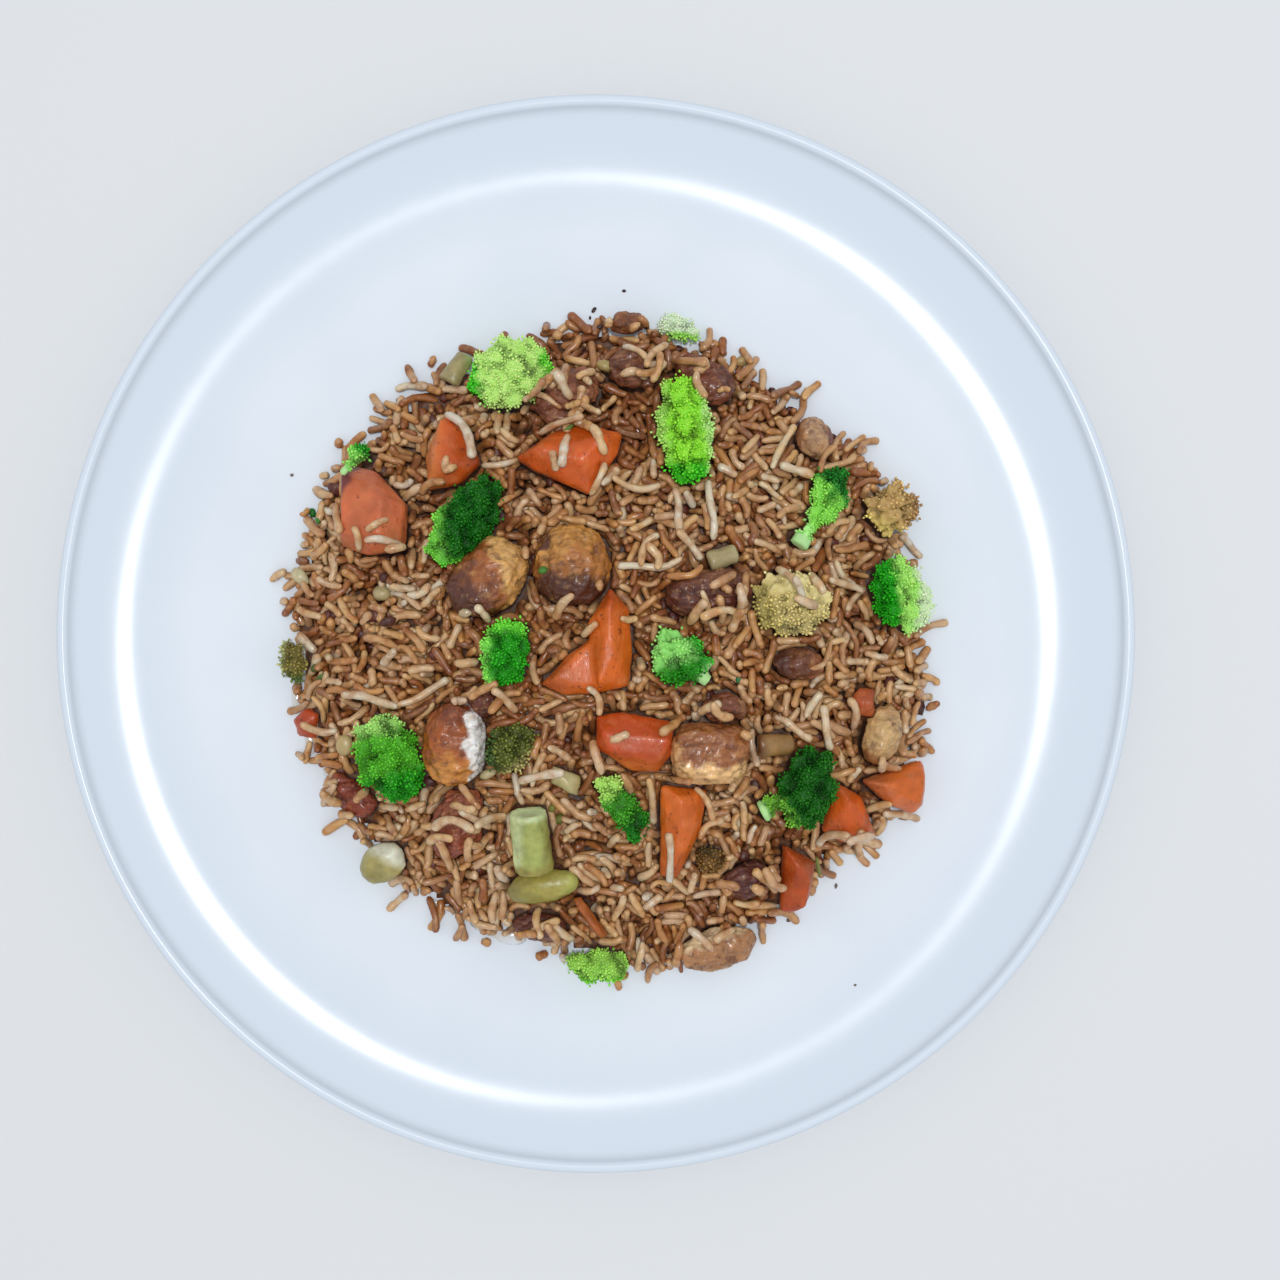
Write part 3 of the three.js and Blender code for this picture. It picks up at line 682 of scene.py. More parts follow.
def ball():
    """A ball of radius one in 80 triangles."""
    points, faces = icosahedron()
    points = list(points)
    middles = {}

    def middle(a, b):
        key = (min(a, b), max(a, b))
        if key not in middles:
            middles[key] = len(points)
            place = points[a] + points[b]
            points.append(place / np.linalg.norm(place))
        return middles[key]

    finer = []
    for a, b, c in faces:
        ab, bc, ca = middle(a, b), middle(b, c), middle(c, a)
        finer += [(a, ab, ca), (b, bc, ab), (c, ca, bc), (ab, bc, ca)]
    return np.array(points), np.array(finer)


BALL = ball()


# ------------------------------------------------------------------ grains of rice


def centre_line(grains, along):
    """Places along each grain seen from above, one row a grain. Along runs from -0.5 to 0.5."""
    along = np.broadcast_to(along, (len(grains["x"]), along.shape[-1]))
    reach = along * grains["length"][:, None]
    arch = 1 - 4 * along**2 - 2 / 3
    side = grains["bend"][:, None] * arch + grains["wave"][:, None] * np.sin(2 * np.pi * along)
    cos, sin = np.cos(grains["turn"])[:, None], np.sin(grains["turn"])[:, None]
    x = grains["x"][:, None] + reach * cos - side * sin
    y = grains["y"][:, None] + reach * sin + side * cos
    return x, y


def curve_heights(grains, along):
    """Heights of the middle line of settled grains."""
    curve = grains["curve"]
    return curve[:, [0]] + curve[:, [1]] * along + curve[:, [2]] * along**2


def lie_field(x, y):
    """The way that grains lie in each place, where they follow their neighbours."""
    return 2.2 * np.pi * lattice_noise(np.stack([x, y], axis=1), GRAIN["patch"], 9)


def random_grains(random, x, y):
    """Grains in random sizes, bends and leans at the given places."""
    count = len(x)
    low, high = GRAIN["length"]
    length = low + (high - low) * random.beta(*GRAIN["length_spread"], count)
    strong = random.random(count) < GRAIN["strong_bends"]
    bow = random.normal(0, GRAIN["bow"], count)
    bow = bow + strong * random.choice([-1, 1], count) * GRAIN["strong_bow"]
    leans = random.random(count) < GRAIN["leaning"]
    lean = random.choice([-1, 1], count) * random.uniform(*GRAIN["lean"], count)
    length = np.where(leans, random.uniform(*GRAIN["leaning_length"], count), length)
    follows = random.random(count) < GRAIN["following"]
    near = lie_field(x, y) + random.normal(0, GRAIN["straying"], count)
    return {
        "x": x,
        "y": y,
        "turn": np.where(follows, near, random.uniform(0, np.pi, count)),
        "length": length,
        "bend": bow * length,
        "wave": random.normal(0, GRAIN["wave"], count) * length,
        "lean": np.where(leans, lean * length, 0.0),
        "radius": random.uniform(*GRAIN["radius"], count),
    }


ALONG = np.linspace(-0.5, 0.5, GRAIN["samples"])
FIT = np.linalg.pinv(np.stack([np.ones_like(ALONG), ALONG, ALONG**2], axis=1))


def settle(grains, heap):
    """Lays each grain on what is under it, as a slightly soft strand would lie.

    Adds the three numbers of its curve in height, and returns the heights of its middle line and
    the gaps under it.
    """
    x, y = centre_line(grains, ALONG)
    radius, turn = grains["radius"][:, None], grains["turn"][:, None]
    aside = GRAIN["aside"] * radius
    drop = radius - np.sqrt(radius**2 - aside**2)
    under = heap.at(x, y)
    for side in (aside, -aside):
        under = np.maximum(under, heap.at(x - np.sin(turn) * side, y + np.cos(turn) * side) - drop)
    curve = under @ FIT.T
    rise, sag = GRAIN["steepest"] * grains["length"], 4 * GRAIN["most_sag"]
    curve[:, 1] = np.clip(curve[:, 1], -rise, rise) + grains["lean"]
    curve[:, 2] = np.clip(curve[:, 2], -sag, sag)
    grains["curve"] = curve
    line = curve_heights(grains, ALONG)
    lift = (under - line).max(axis=1) - GRAIN["press"] + grains["radius"]
    curve[:, 0] += lift
    line = line + lift[:, None]
    return line, line - radius - under


def disc_cells(radius, step):
    """Shifts of the cells within a radius, and how high a ball stands over its rim there."""
    reach = int(math.ceil(radius / step))
    around = np.arange(-reach, reach + 1)
    rows, columns = np.meshgrid(around, around, indexing="ij")
    far = (rows**2 + columns**2) * step**2
    inside = far < radius**2
    return rows[inside], columns[inside], np.sqrt(radius**2 - far[inside])


def stamp(heap, grain):
    """Raises the heights under one grain to its top."""
    radius = grain["radius"][0]
    fine = np.linspace(-0.5, 0.5, int(grain["length"][0] / heap.step) + 3)
    fine *= 1 - min(0.8, 1.4 * radius / grain["length"][0])
    x, y = centre_line(grain, fine)
    z = curve_heights(grain, fine)[0]
    rows, columns = heap.cells(x[0], y[0])
    row_shift, column_shift, rise = disc_cells(radius, heap.step)
    all_rows = np.clip(rows[:, None] + row_shift, 0, heap.count - 1)
    all_columns = np.clip(columns[:, None] + column_shift, 0, heap.count - 1)
    np.maximum.at(heap.values, (all_rows, all_columns), z[:, None] + rise)


def pick(grains, chosen):
    return {name: values[chosen] for name, values in grains.items()}


def gathered(laid):
    """Many grains in one, from a list of single ones."""
    return {name: np.concatenate([grain[name] for grain in laid]) for name in laid[0]}


def grain_scores(grains, heap, target, blocked):
    """How well each grain fills the heap: room over it, less what hangs in the air."""
    line, gaps = settle(grains, heap)
    x, y = centre_line(grains, ALONG)
    goal = target.at(x, y)
    on_topping = blocked[heap.cells(x, y)].mean(axis=1)
    outside = (goal <= PLATE["well_z"] + 0.1).mean(axis=1)
    goal = np.maximum(goal, PLATE["well_z"] + GRAIN["edge_height"])
    room = (goal - line - grains["radius"][:, None]).mean(axis=1)
    air = GRAIN["air"] * np.maximum(gaps, 0).mean(axis=1)
    bad = (on_topping > GRAIN["on_topping"]) | (outside > GRAIN["overhang"])
    return np.where(bad, NEVER, np.minimum(room, GRAIN["most_room"]) - air), room


def fill_heap(random, heap, target, spots, blocked, least_room):
    """Drops grains where the heap is lowest under its target, until they would stand too high."""
    laid = []
    misses = 0
    while len(laid) < GRAIN["most"] and misses < GRAIN["misses"]:
        chosen = spots[random.integers(0, len(spots), GRAIN["spots"])]
        chosen = chosen + random.uniform(-0.4, 0.4, chosen.shape)
        depth = target.at(*chosen.T) - heap.at(*chosen.T)
        chosen = chosen[np.argsort(-depth)[: GRAIN["tries"]]]
        grains = random_grains(random, *chosen.T)
        score, room = grain_scores(grains, heap, target, blocked)
        score += random.uniform(0, GRAIN["chance"], len(score))
        best = int(np.argmax(score))
        if score[best] < NEVER / 2 or room[best] < least_room:
            misses += 1
            continue
        misses = 0
        grain = pick(grains, [best])
        stamp(heap, grain)
        laid.append(grain)
    return laid


def lay_bits(random, heap, target, spots):
    """Crumbs of meat that lie between the grains. Returns their middles and radii."""
    chosen = spots[random.integers(0, len(spots), BITS["spots"] * BITS["count"])]
    depth = target.at(*chosen.T) - heap.at(*chosen.T)
    deepest = np.argsort(-depth)[: BITS["one_of"] * BITS["count"]]
    chosen = chosen[deepest[:: BITS["one_of"]]]
    radii = random.uniform(*BITS["radius"], len(chosen))
    heights = heap.at(*chosen.T) + BITS["middle"] * radii
    for (x, y), radius, height in zip(chosen, radii, heights):
        rows, columns, rise = disc_cells(radius, heap.step)
        row, column = heap.cells(x, y)
        cells = (row + rows, column + columns)
        heap.values[cells] = np.maximum(heap.values[cells], height + rise * BITS["top"])
    return np.column_stack([chosen, heights]), radii


def lay_rice(heap, target, covered, blocked):
    """Fills the heap with grains and, between them, crumbs."""
    random = np.random.default_rng(2024)
    x, y = target.places()
    free = covered & ~blocked[heap.cells(x, y)]
    spots = np.stack([x[free], y[free]], axis=1)
    laid = fill_heap(random, heap, target, spots, blocked, GRAIN["bits_room"])
    bits = lay_bits(random, heap, target, spots)
    laid += fill_heap(random, heap, target, spots, blocked, GRAIN["least_room"])
    return gathered(laid), bits


def build_bits(middles, radii):
    """Uneven crumbs, reddish to purplish brown."""
    random = np.random.default_rng(77)
    shape, faces = BALL
    reddish = np.tile(srgb(122, 60, 40), (len(shape), 1))
    parts = []
    for place, radius in zip(middles, radii):
        stretch = random.uniform(0.75, 1.35, 3) * np.array([1, 1, 0.8])
        points = shape * stretch * radius
        points = points * (1 + 0.3 * lattice_noise(points + place, 0.9, 61))[:, None] + place
        tint = mixed_colour(reddish, srgb(92, 48, 46), [random.random()])
        parts.append((points, faces, tint * random.uniform(0.7, 1.3)))
    points, faces, tints = joined(parts)
    make_piece("fried_bits", points, faces, bit_material(), "meat", "rice", tints)


# Grains that lie on top of the rest, each by the pixel of the 1280 pixel photograph where its
# middle is seen: x, y, the way it lies in degrees from +X towards +Y, its length in millimetres,
# how far it bows as a share of its length, and how pale it is.

TOP_GRAINS = [
    (464, 433, -58, 14.0, 0.17, 0.95),
    (445, 463, 80, 4.0, 0.0, 0.7),
    (450, 469, 20, 3.4, 0.0, 0.6),
    (561, 425, 16, 11.5, 0.06, 0.7),
    (564, 450, 78, 8.3, 0.03, 0.85),
    (554, 460, 100, 5.0, 0.0, 0.75),
    (599, 439, -63, 8.0, 0.05, 0.8),
    (599, 480, 64, 8.5, -0.05, 0.9),
    (611, 478, 50, 6.0, 0.0, 0.8),
    (357, 538, -80, 6.0, 0.12, 0.8),
    (384, 541, -7, 9.0, 0.1, 0.85),
    (376, 524, 30, 6.0, 0.05, 0.75),
    (397, 549, 10, 5.0, 0.0, 0.7),
    (563, 384, -57, 7.0, 0.0, 0.9),
    (585, 373, 30, 5.0, 0.05, 0.7),
    (609, 405, 53, 5.5, 0.0, 0.65),
    (573, 406, 10, 4.0, 0.0, 0.6),
    (548, 399, -30, 8.0, 0.06, 0.65),
    (534, 392, 40, 7.0, -0.06, 0.6),
    (592, 411, -20, 5.0, 0.0, 0.8),
    (711, 511, -86, 15.0, 0.02, 1.0),
    (650, 566, 8, 16.0, -0.08, 0.95),
    (678, 510, -84, 11.0, 0.03, 0.9),
    (690, 545, -50, 9.5, 0.03, 0.9),
    (782, 447, 62, 13.0, 0.03, 0.95),
    (796, 471, -20, 9.0, 0.02, 0.9),
    (846, 585, -17, 10.0, 0.02, 0.9),
    (636, 487, -8, 12.0, -0.16, 0.85),
    (646, 548, 60, 9.0, 0.2, 0.8),
    (655, 556, -70, 7.0, 0.2, 0.75),
    (723, 613, 0, 11.0, 0.2, 0.75),
    (712, 598, 20, 4.0, 0.0, 0.7),
    (735, 621, 60, 6.0, 0.05, 0.6),
    (790, 578, -45, 8.0, 0.08, 0.95),
    (800, 590, -70, 7.0, 0.05, 1.0),
    (806, 602, -20, 6.5, 0.0, 0.9),
    (788, 606, 30, 6.0, 0.05, 0.85),
    (818, 583, -60, 6.0, 0.0, 0.9),
    (371, 699, -10, 15.0, 0.05, 0.9),
    (425, 693, 27, 14.0, -0.05, 0.9),
    (390, 657, 50, 5.5, 0.0, 1.0),
    (492, 818, 14, 7.5, 0.12, 0.95),
    (454, 823, 0, 10.5, 0.24, 0.85),
    (440, 838, 15, 7.0, 0.2, 0.75),
    (398, 901, 42, 7.0, 0.0, 0.75),
    (812, 704, 55, 7.5, 0.03, 1.0),
    (827, 728, -80, 11.6, -0.03, 0.9),
    (794, 728, -31, 11.0, 0.02, 0.85),
    (652, 801, -84, 12.0, 0.03, 0.85),
    (670, 858, -88, 13.0, 0.03, 0.9),
    (832, 837, 20, 8.0, 0.26, 0.8),
    (860, 838, 10, 7.5, 0.08, 0.75),
    (901, 815, -12, 10.5, 0.05, 0.85),
    (878, 806, 20, 6.0, 0.05, 0.7),
    (596, 690, 70, 5.0, 0.0, 0.8),
    (603, 681, 90, 4.0, 0.0, 0.75),
    (590, 629, 40, 5.0, 0.0, 0.85),
    (640, 957, 80, 8.0, 0.0, 0.85),
    (700, 933, -40, 8.0, 0.05, 0.75),
    (724, 935, 30, 6.0, 0.05, 0.7),
    (620, 737, 15, 5.0, 0.0, 0.7),
    (483, 613, -52, 5.0, 0.04, 1.0),
    (505, 700, -45, 8.0, 0.05, 0.7),
    (541, 776, 12, 12.0, 0.03, 0.95),
    (560, 752, -30, 6.5, 0.03, 0.95),
]


def seen_at(pixel_x, pixel_y, height):
    """The place in millimetres that the camera sees at a pixel, at a height."""
    place_x, place_y, place_z = CAMERA["place"]
    middle = CAMERA["image_px"] / 2
    scale = (place_z - height) / CAMERA["focal_px"]
    return place_x + (pixel_x - middle) * scale, place_y - (pixel_y - middle) * scale


def seen_on(heap, pixel_x, pixel_y, height, lift=0.0):
    """Where the camera sees the heap at a pixel, found in steps from a first height."""
    for _ in range(3):
        x, y = seen_at(pixel_x, pixel_y, height)
        height = float(heap.at(x, y)) + lift
    return x, y, height


def lay_on_top(heap, grain, laid):
    """Lays a grain on the heap and adds it to those laid, unless it would stand too high."""
    line, _ = settle(grain, heap)
    if line.max() + grain["radius"][0] <= HEAP["highest"]:
        stamp(heap, grain)
        laid.append(grain)


def lay_top_grains(heap):
    """Lays the grains of the table, in its order, on the heap and its toppings."""
    random = np.random.default_rng(5)
    laid = []
    for pixel_x, pixel_y, turn, length, bow, tone in TOP_GRAINS:
        x, y, _ = seen_on(heap, pixel_x, pixel_y, 24.0, lift=1.0)
        grain = {
            "x": x,
            "y": y,
            "turn": math.radians(turn),
            "length": length,
            "bend": bow * length,
            "wave": random.normal(0, 0.02) * length,
            "lean": 0.0,
            "radius": random.uniform(0.95, 1.2),
            "tone": tone,
        }
        lay_on_top(heap, {name: np.array([value]) for name, value in grain.items()}, laid)
    return gathered(laid)


def lay_over(heap, toppings, cover, bare):
    """Lays grains at random across toppings, where they don't hide the cells to be left bare."""
    random = np.random.default_rng(8)
    laid = []
    for points, _ in toppings:
        low, high = points.min(axis=0)[:2], points.max(axis=0)[:2]
        number = 1 + int(np.prod(high - low) / cover["area"])
        turn, far = random.uniform(0, 2 * np.pi, number), random.uniform(*cover["reach"], number)
        spread = np.stack([far * np.cos(turn), far * np.sin(turn)], axis=1) / 2
        for place in (low + high) / 2 + spread * (high - low):
            grain = random_grains(random, *place[:, None])
            grain["length"] = np.minimum(grain["length"], OVER["longest"])
            grain["lean"] = np.zeros(1)
            grain["tone"] = random.uniform(*OVER["tone"], 1)
            if bare[heap.cells(*centre_line(grain, ALONG))].mean() <= OVER["on_bare"]:
                lay_on_top(heap, grain, laid)
    return gathered(laid)


def visible_share(grains, heap):
    """How much of each grain's upper side nothing else covers."""
    x, y = centre_line(grains, ALONG)
    top = curve_heights(grains, ALONG) + grains["radius"][:, None]
    return (heap.at(x, y) < top + GRAIN["cover"]).mean(axis=1)


# Where the photograph shows browner or paler rice: pixel, how far in millimetres, and how much.

TONE_SPOTS = [
    (600, 340, 40.0, -0.46),
    (470, 535, 20.0, -0.24),
    (430, 610, 14.0, 0.24),
    (365, 560, 10.0, -0.24),
    (630, 440, 14.0, -0.16),
    (640, 600, 16.0, -0.24),
    (530, 685, 28.0, -0.34),
    (720, 615, 28.0, -0.22),
    (715, 400, 24.0, -0.24),
    (800, 755, 13.0, -0.2),
    (620, 760, 16.0, -0.2),
    (850, 770, 20.0, 0.08),
    (765, 915, 28.0, -0.22),
]

# How pale grains are: slow patches as (strength, width, seed), how much darker, as painted shade, those
# that lie deeper are and between which depths, and the two shape numbers of the random share.

TONES = {
    "patches": [(0.16, 16.0, 21), (0.12, 8.0, 22)],
    "sunk": 0.4,
    "sunk_depths": (0.5, 4.5),
    "spread": (1.5, 1.7),
    "seen_height": 22.0,
}


def grain_tones(grains, heights):
    """How pale each grain is, from 0 to 1, with patches of paler and browner, and darker below as painted
    shade.
    """
    random = np.random.default_rng(31)
    places = np.stack([grains["x"], grains["y"]], axis=1)
    patch = sum(most * lattice_noise(places, width, seed) for most, width, seed in TONES["patches"])
    for pixel_x, pixel_y, reach, change in TONE_SPOTS:
        far = np.linalg.norm(places - seen_at(pixel_x, pixel_y, TONES["seen_height"]), axis=1)
        patch += change * smooth_step(reach, 0.5 * reach, far)
    depth = heights - grains["curve"][:, 0] - grains["radius"]
    # painted shade: grains that lie deeper are made darker
    sunk = TONES["sunk"] * smooth_step(*TONES["sunk_depths"], depth)
    return np.clip(random.beta(*TONES["spread"], len(places)) + patch - sunk, 0, 1)


RICE_TINTS = [
    (0.0, srgb(152, 88, 39), srgb(140, 88, 53)),
    (0.3, srgb(196, 140, 78), srgb(184, 140, 97)),
    (0.6, srgb(213, 170, 113), srgb(204, 169, 131)),
    (0.85, srgb(215, 183, 136), srgb(207, 182, 154)),
    (1.0, srgb(216, 199, 166), srgb(212, 203, 186)),
]


# Painted shade, with some sauce stain: how much darker the sides and underside of a grain are than its
# ridge, most in blue.

SHADE_AND_STAIN = {"side": 0.68, "ridge": 1.02, "hue": np.array([0.8, 1.2, 1.7])}


def rice_tints(tones, greys):
    """Colours from how pale a grain is and how grey rather than golden."""
    stops = [stop for stop, _, _ in RICE_TINTS]
    ends = []
    for side in (1, 2):
        colours = np.array([row[side] for row in RICE_TINTS])
        ends.append(np.stack([np.interp(tones, stops, colours[:, axis]) for axis in range(3)], axis=-1))
    return ends[0] + (ends[1] - ends[0]) * greys[:, None]


def ring_places(grains, rings):
    """Where each grain's rings are along it, and how wide they are: round ends, an even middle."""
    radius, length = grains["radius"][:, None], grains["length"][:, None]
    rise = grains["curve"][:, [1]]
    true_length = np.sqrt(length**2 + rise**2)
    end = np.array([0.1, 0.45])
    distances = end * radius
    start = np.minimum(1.1 * radius, 0.35 * true_length)
    middle = start + (true_length - 2 * start) * np.linspace(0, 1, rings - 4)
    places = np.concatenate([distances, middle, true_length - distances[:, ::-1]], axis=1)
    round_end = np.sqrt(1 - (1 - end) ** 2)
    width = np.concatenate([round_end, np.ones(rings - 4), round_end[::-1]])
    return places / true_length - 0.5, width


# How uneven the strands are: shares of the radius, then steps of tone. Greys are the mean and the
# spread of how grey rather than golden a grain is.

STRAND = {
    "taper": 0.3,
    "swell": 0.1,
    "swell_waves": (6, 16),  # radians from end to end
    "uneven": 0.035,
    "flattest": 0.7,
    "tip": 0.1,
    "drift": 0.2,
    "ring_tones": 0.07,
    "point_tones": 0.05,
    "greys": (0.45, 0.3),
}


def strand_points(grains, along, width, sides, random):
    """The points of strands, ring by ring and then the two tips, and the angles round the rings."""
    count, rings = along.shape
    x, y = centre_line(grains, along)
    middle = np.stack([x, y, curve_heights(grains, along)], axis=2)
    ahead = unit(np.gradient(middle, axis=1))
    side = unit(np.cross(np.array([0.0, 0.0, 1.0]), ahead))
    up = np.cross(ahead, side)
    radius = grains["radius"][:, None, None]
    angle = np.arange(sides) / sides * 2 * np.pi + random.uniform(0, 2 * np.pi, (count, 1, 1))
    roll = random.uniform(0, np.pi, (count, 1, 1))
    taper = 1 + random.uniform(-STRAND["taper"], STRAND["taper"], (count, 1, 1)) * along[:, :, None]
    waves = along * random.uniform(*STRAND["swell_waves"], (count, 1)) + random.uniform(0, 6, (count, 1))
    swell = 1 + STRAND["swell"] * np.sin(waves)
    uneven = 1 + random.normal(0, STRAND["uneven"], (count, rings, sides))
    reach = radius * width[None, :, None] * taper * swell[:, :, None] * uneven
    flat = random.uniform(STRAND["flattest"], 1.0, (count, 1, 1))
    across = reach * np.cos(angle) * (np.cos(roll) ** 2 + flat * np.sin(roll) ** 2)
    over = reach * np.sin(angle) * (np.sin(roll) ** 2 + flat * np.cos(roll) ** 2)
    skin = middle[:, :, None] + across[..., None] * side[:, :, None] + over[..., None] * up[:, :, None]
    tip_gap = STRAND["tip"] * radius * np.array([-1, 1])[None, :, None]
    tips = middle[:, [0, -1]] + ahead[:, [0, -1]] * tip_gap
    return np.concatenate([skin.reshape(count, rings * sides, 3), tips], axis=1), angle


def strand_tints(tones, along, angle, random):
    """The colours of the points of strands: tones drift along each, and the sides and underside are
    painted darker than the ridge, as shade and partly as sauce stain.
    """
    count, rings = along.shape
    sides = angle.shape[2]
    drift = random.uniform(-STRAND["drift"], STRAND["drift"], (count, 1)) * 2 * along
    ring_tones = tones[:, None] + (drift + random.normal(0, STRAND["ring_tones"], along.shape))
    skin_tones = ring_tones[:, :, None] + random.normal(0, STRAND["point_tones"], (count, rings, sides))
    all_tones = np.concatenate([skin_tones.reshape(count, -1), ring_tones[:, [0, -1]]], axis=1)
    greys = np.clip(random.normal(*STRAND["greys"], count), 0, 1)
    greys = np.repeat(greys, all_tones.shape[1])
    tints = rice_tints(np.clip(all_tones, 0, 1).ravel(), greys)
    # painted shade: points that face down or sideways are darker than those that face up
    upward = np.broadcast_to(smooth_step(-0.7, 0.8, np.sin(angle)), (count, rings, sides))
    lit_share = np.concatenate([upward.reshape(count, -1), np.full((count, 2), 0.5)], axis=1).ravel()
    stained = SHADE_AND_STAIN["side"] + (SHADE_AND_STAIN["ridge"] - SHADE_AND_STAIN["side"]) * lit_share
    return tints * stained[:, None] ** SHADE_AND_STAIN["hue"]


def closed_sheet(x, y, z, inside, floor):
    """A sheet of heights over the cells of a grid that are inside, closed down to a floor."""
    count = inside.sum()
    number = np.full(inside.shape, -1)
    number[inside] = np.arange(count)
    top = np.stack([x[inside], y[inside], z[inside]], axis=1)
    corners = [number[:-1, :-1], number[:-1, 1:], number[1:, 1:], number[1:, :-1]]
    quads = np.stack(corners, axis=2).reshape(-1, 4)
    quads = quads[(quads >= 0).all(axis=1)]
    edges = np.concatenate([quads[:, [side, (side + 1) % 4]] for side in range(4)]).tolist()
    keys = set(map(tuple, edges))
    rim = np.array([edge for edge in edges if (edge[1], edge[0]) not in keys])
    walls = np.stack([rim[:, 1], rim[:, 0], rim[:, 0] + count, rim[:, 1] + count], axis=1)
    below = np.column_stack([top[:, :2], np.full(count, floor)])
    return np.concatenate([top, below]), np.concatenate([quads, quads[:, ::-1] + count, walls])


def build_core(target):
    """The inside of the heap, a closed skin under the loose grains, coloured dark as painted shade."""
    well = PLATE["well_z"]
    x, y = Heights(HEAP["core_step"]).places()
    top = target.at(x, y)
    inside = blurred((top > well + 1.0).astype(float), 1) > 0.8
    z = np.maximum(top - HEAP["layer"], well + 0.5)
    z = np.where(inside, blurred(z, 1), well + 0.3)
    points, faces = closed_sheet(x, y, z, inside, well + 0.05)
    make_piece("rice_core_painted_shade", points, faces, painted_shade_core_material(), "rice", "rice")


def make_grains(name, grains, tones, material, rings, sides):
    """Closed strands with round ends, one for each grain, as one piece."""
    random = np.random.default_rng(len(tones))
    along, width = ring_places(grains, rings)
    points, angle = strand_points(grains, along, width, sides, random)
    tints = strand_tints(tones, along, angle, random)
    starts = np.arange(len(tones)) * points.shape[1]
    faces = tube_faces(rings, sides) + starts[:, None, None]
    make_piece(name, points.reshape(-1, 3), faces.reshape(-1, 3), material, "rice", "rice", tints)


def build_rice(cut, broccoli):
    """The heap: a dark core, grains in three tones that show, and the plainer ones under them.

    A few grains lie over the toppings. Returns the heights of the finished heap.
    """
    target, plain, covered = target_heights()
    build_core(target)
    heap = Heights(HEAP["step"])
    heap.values = np.maximum(target.at(*heap.places()) - HEAP["layer"], PLATE["well_z"])
    bare = np.zeros_like(heap.values, bool)
    for points, faces in broccoli:
        bare |= heap.drop_onto(points, faces)
    blocked = bare.copy()
    for points, faces in itertools.chain(*cut.values()):
        blocked |= heap.drop_onto(points, faces)
    grains, bits = lay_rice(heap, target, covered, blocked)
    build_bits(*bits)
    over = lay_over(heap, cut["meat"], OVER_MEAT, bare)
    edges = lay_over(heap, cut["tofu"] + cut["carrot"], OVER_EDGES, bare)
    tops = lay_top_grains(heap)
    tops = {name: np.concatenate([tops[name], over[name], edges[name]]) for name in tops}
    tones = grain_tones(grains, plain.at(grains["x"], grains["y"]))
    shows = visible_share(grains, heap) > GRAIN["in_sight"]
    material, rings, sides = rice_material(), GRAIN["rings"], GRAIN["sides"]
    for name, low, high in (("brown", 0.0, 0.38), ("tan", 0.38, 0.6), ("pale", 0.6, 1.01)):
        chosen = shows & (tones >= low) & (tones < high)
        make_grains("rice_" + name, pick(grains, chosen), tones[chosen], material, rings, sides)
    make_grains("rice_on_top", tops, tops.pop("tone"), material, rings + 3, sides)
    make_grains("rice_under", pick(grains, ~shows), tones[~shows], material, rings - 2, sides - 2)
    return heap


# ------------------------------------------------------------------ scraps and oil

# How high a scrap's middle is over what carries it, by its half height, and how uneven it is.
SCRAP = {"middle": 0.45, "uneven": 0.45}
OIL_FILM = {"height": 0.3, "sunk": 0.35, "uneven": 0.25}

# Scraps by the pixel where they are seen: x, y, half sizes along, across and up in millimetres,
# the turn in degrees, and the colour. Each kind is one piece.

DARK = (62, 34, 24)

SCRAPS = {
    "dark_crumbs": [
        (594, 310, (0.9, 0.5, 0.4), 60, DARK),
        (600, 327, (1.0, 0.6, 0.4), 20, DARK),
        (624, 291, (0.5, 0.4, 0.3), 0, DARK),
        (590, 318, (0.5, 0.3, 0.3), 90, DARK),
        (836, 886, (0.7, 0.4, 0.3), 80, (150, 140, 130)),
        (789, 920, (0.7, 0.5, 0.3), 10, (110, 90, 76)),
        (855, 985, (0.5, 0.4, 0.3), 0, (150, 140, 132)),
        (292, 475, (0.5, 0.4, 0.3), 0, (150, 140, 132)),
        (388, 621, (2.0, 1.3, 1.2), 20, (96, 50, 42)),
        (384, 577, (1.5, 1.1, 1.0), 70, (92, 46, 36)),
    ],
    "green_crumbs": [
        (313, 513, (0.9, 1.3, 0.7), 0, (40, 110, 40)),
        (318, 521, (0.5, 0.9, 0.5), 40, (60, 130, 50)),
        (543, 570, (1.1, 0.9, 0.6), 20, (70, 120, 50)),
        (738, 679, (1.0, 0.6, 0.5), 80, (54, 110, 66)),
        (569, 428, (1.3, 0.5, 0.5), 30, (90, 120, 50)),
        (560, 818, (1.6, 1.2, 0.8), 30, (104, 110, 44)),
        (552, 808, (1.2, 1.0, 0.7), 70, (120, 120, 56)),
        (818, 866, (0.5, 2.6, 0.5), 10, (120, 130, 70)),
        (322, 676, (1.6, 0.7, 0.6), 30, (90, 110, 60)),
        (314, 668, (1.2, 0.7, 0.6), 70, (80, 96, 50)),
    ],
    "onion_scraps": [
        (301, 577, (2.8, 1.8, 1.2), -40, (196, 186, 146)),
        (345, 746, (2.4, 2.8, 1.4), 10, (190, 166, 116)),
        (382, 593, (2.2, 2.0, 1.4), 0, (176, 162, 118)),
        (466, 612, (1.8, 1.2, 1.0), 20, (180, 160, 126)),
        (741, 362, (2.2, 1.4, 1.2), 20, (176, 152, 100)),
        (605, 366, (2.2, 1.4, 1.2), -20, (168, 148, 92)),
        (488, 774, (2.6, 1.4, 1.2), 20, (190, 176, 132)),
    ],
}

# Beads of oil on the plate where the photograph shows glints at the foot of the heap: x and y of
# the pixel, half sizes in millimetres along and across, and the turn in degrees.

